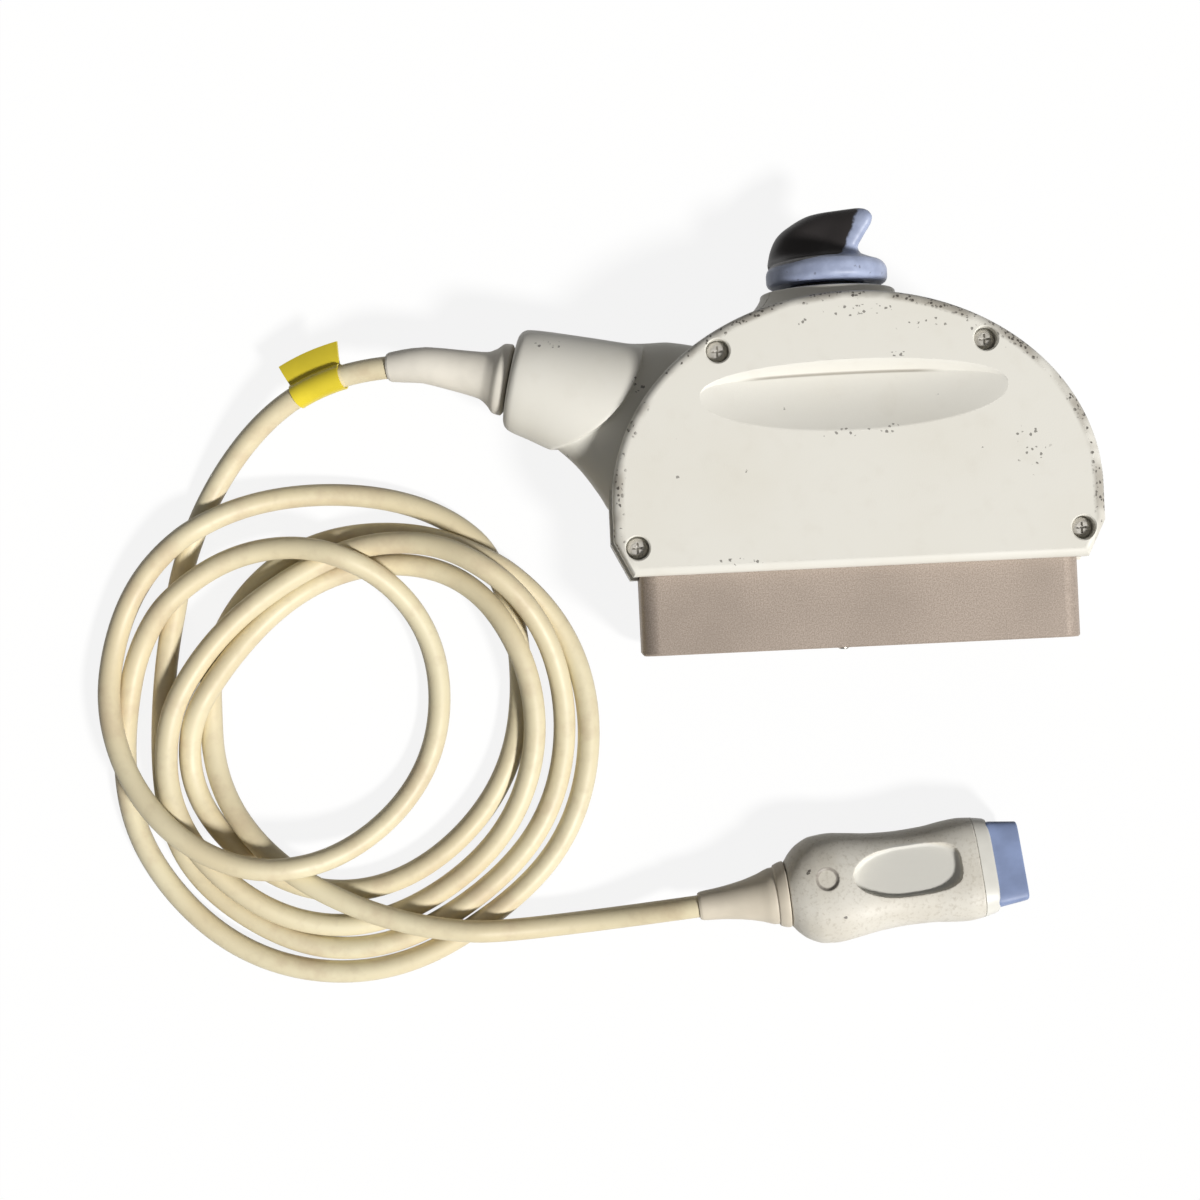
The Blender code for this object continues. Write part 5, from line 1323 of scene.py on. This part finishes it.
def build_nose():
    last = SHELL_SECTIONS[-1]
    front = last[0]
    outside = last[1:]
    start = front + SEAM
    end = front + GAP + NOSE_LENGTH
    skirt = front - NOSE_SKIRT
    skirt_inset = SHELL_WALL + GAP + 0.4
    seat = front + GAP + 1.2
    rings = [section_ring(end, NOSE_END, 0.9)]
    rings += [section_ring(end - 0.25, NOSE_END, 0.3), section_ring(end - 0.8, NOSE_END, 0.0)]
    rings += [section_ring(start + 0.15, outside), section_ring(start, outside, 0.15)]
    rings += [section_ring(start, outside, skirt_inset), section_ring(skirt, outside, skirt_inset)]
    rings += [section_ring(skirt, LENS_ROOT, NOSE_RIM), section_ring(seat, LENS_ROOT, NOSE_RIM)]
    rings += [section_ring(seat, LENS_ROOT, -GAP / 2), section_ring(end, LENS_ROOT, -GAP / 2)]
    nose = loft("nose_ring", on_probe(rings), "joined")
    dress(nose, ["nose_frame"], nose_cream)

    tip = end + LENS_REACH
    rings = [section_ring(seat + GAP, LENS_ROOT), section_ring(end + 0.4, LENS_ROOT, 0.0, LENS_POWER)]
    for i in range(7):
        angle = math.pi / 2 * i / 6
        inset = LENS_EDGE * (1 - math.cos(angle)) - 0.1
        forward = tip - 0.3 - LENS_EDGE * (1 - math.sin(angle))
        rings.append(section_ring(forward, LENS_TIP, inset, LENS_POWER))
    rings.append(section_ring(tip, LENS_TIP, LENS_TIP[1] * 0.5, LENS_POWER))
    lens = loft("lens_pad", on_probe(rings))
    dress(lens, ["acoustic_lens"], lens_blue)


def tape_section():
    """The tape cut across the cable: each outer point's reach and height, and its inner one's angle."""
    opening = math.asin(TAPE_HALF_THICKNESS / TAPE_OUTER)
    root = TAPE_OUTER * math.cos(opening)
    flag = []
    for i in range(TAPE_FLAG_STEPS):
        share = i / TAPE_FLAG_STEPS
        flag.append((TAPE_REACH + (root - TAPE_REACH) * share, TAPE_HALF_THICKNESS, opening * share))
    wrap = []
    for i in range(TAPE_WRAP_STEPS + 1):
        angle = opening + (2 * math.pi - 2 * opening) * i / TAPE_WRAP_STEPS
        wrap.append((TAPE_OUTER * math.cos(angle), TAPE_OUTER * math.sin(angle), angle))
    return flag + wrap + [(reach, -height, -angle) for reach, height, angle in reversed(flag)]


def build_tape():
    middle = cable.nearest(TAPE_CENTRE)
    outer = []
    inner = []
    for k in range(TAPE_STATIONS + 1):
        shift = TAPE_START + (TAPE_END - TAPE_START) * k / TAPE_STATIONS
        tangent = cable.tangent(middle + shift)
        away = tangent.cross(Vector((0, 0, 1))).normalized()
        up = away.cross(tangent)
        centre = cable.at(middle + shift)
        skin = []
        lining = []
        for reach, height, angle in tape_section():
            beyond = max(reach - TAPE_OUTER, 0.0)
            slide = tangent * (shift * TAPE_SPREAD * beyond / TAPE_REACH)
            skin.append(centre + away * reach + up * (height - TAPE_DROOP * beyond**2) + slide)
            lining.append(centre + (away * math.cos(angle) + up * math.sin(angle)) * TAPE_INNER)
        outer.append(skin)
        inner.append(lining)
    tape = loft("cable_tape", outer + inner[::-1], "joined")
    return dress(tape, ["tape_flag"], tape_yellow)


def build_probe_boot():
    turn = probe_frame()
    line = Path([turn @ Vector((20.0 - s, 0, 0)) for s in range(70)])
    boot = sleeve("probe_relief", line, PROBE_BOOT_PROFILE, 20.0)
    return dress(boot, ["probe_boot"], probe_boot_cream)


build_camera()
build_floor()
build_light()
cable = cable_line()
tube = build_cable()

plug_boot = sleeve("plug_relief", cable, PLUG_BOOT_PROFILE, cable.nearest(OUTLET_END))
dress(plug_boot, ["plug_boot"], boot_cream)
probe_boot = build_probe_boot()
tape = build_tape()
build_rear_cover()
build_front_cover()
build_knob()
build_handle()
build_nose()

# Pieces that keep the solids' own shapes
for number in range(1, 5):
    dressed(f"cover_screw_{number}", f"screw_{number}", screw_steel, 0.1)
dressed("plug_shroud", "mating_shroud", shroud_metal, 0.2)
dressed("contact_block", "contact_carrier", black, 0.1)
dressed("lower_board", "lower_circuit", board_green)
dressed("upper_board", "upper_circuit", board_green)
dressed("lock_shaft", "knob_shaft", steel)
dressed("lock_sleeve", "shaft_sleeve", steel, 0.2)
dressed("lock_pin", "cross_pin", steel)
dressed("shaft_bush", "shaft_bearing", brass)
dressed("thrust_washer", "knob_washer", black)
dressed("retaining_ring", "shaft_ring", steel)
dressed("cable_ferrule", "plug_crimp", steel)
dressed("array_block", "array_stack", ceramic)
dressed("backing_block", "array_backing", black)
dressed("flex_circuit", "flex_ribbon", amber)
dressed("probe_ferrule", "probe_crimp", steel)

tuple(cable.at(0.0) * MM)

bpy.context.scene.view_settings.view_transform = "Standard"
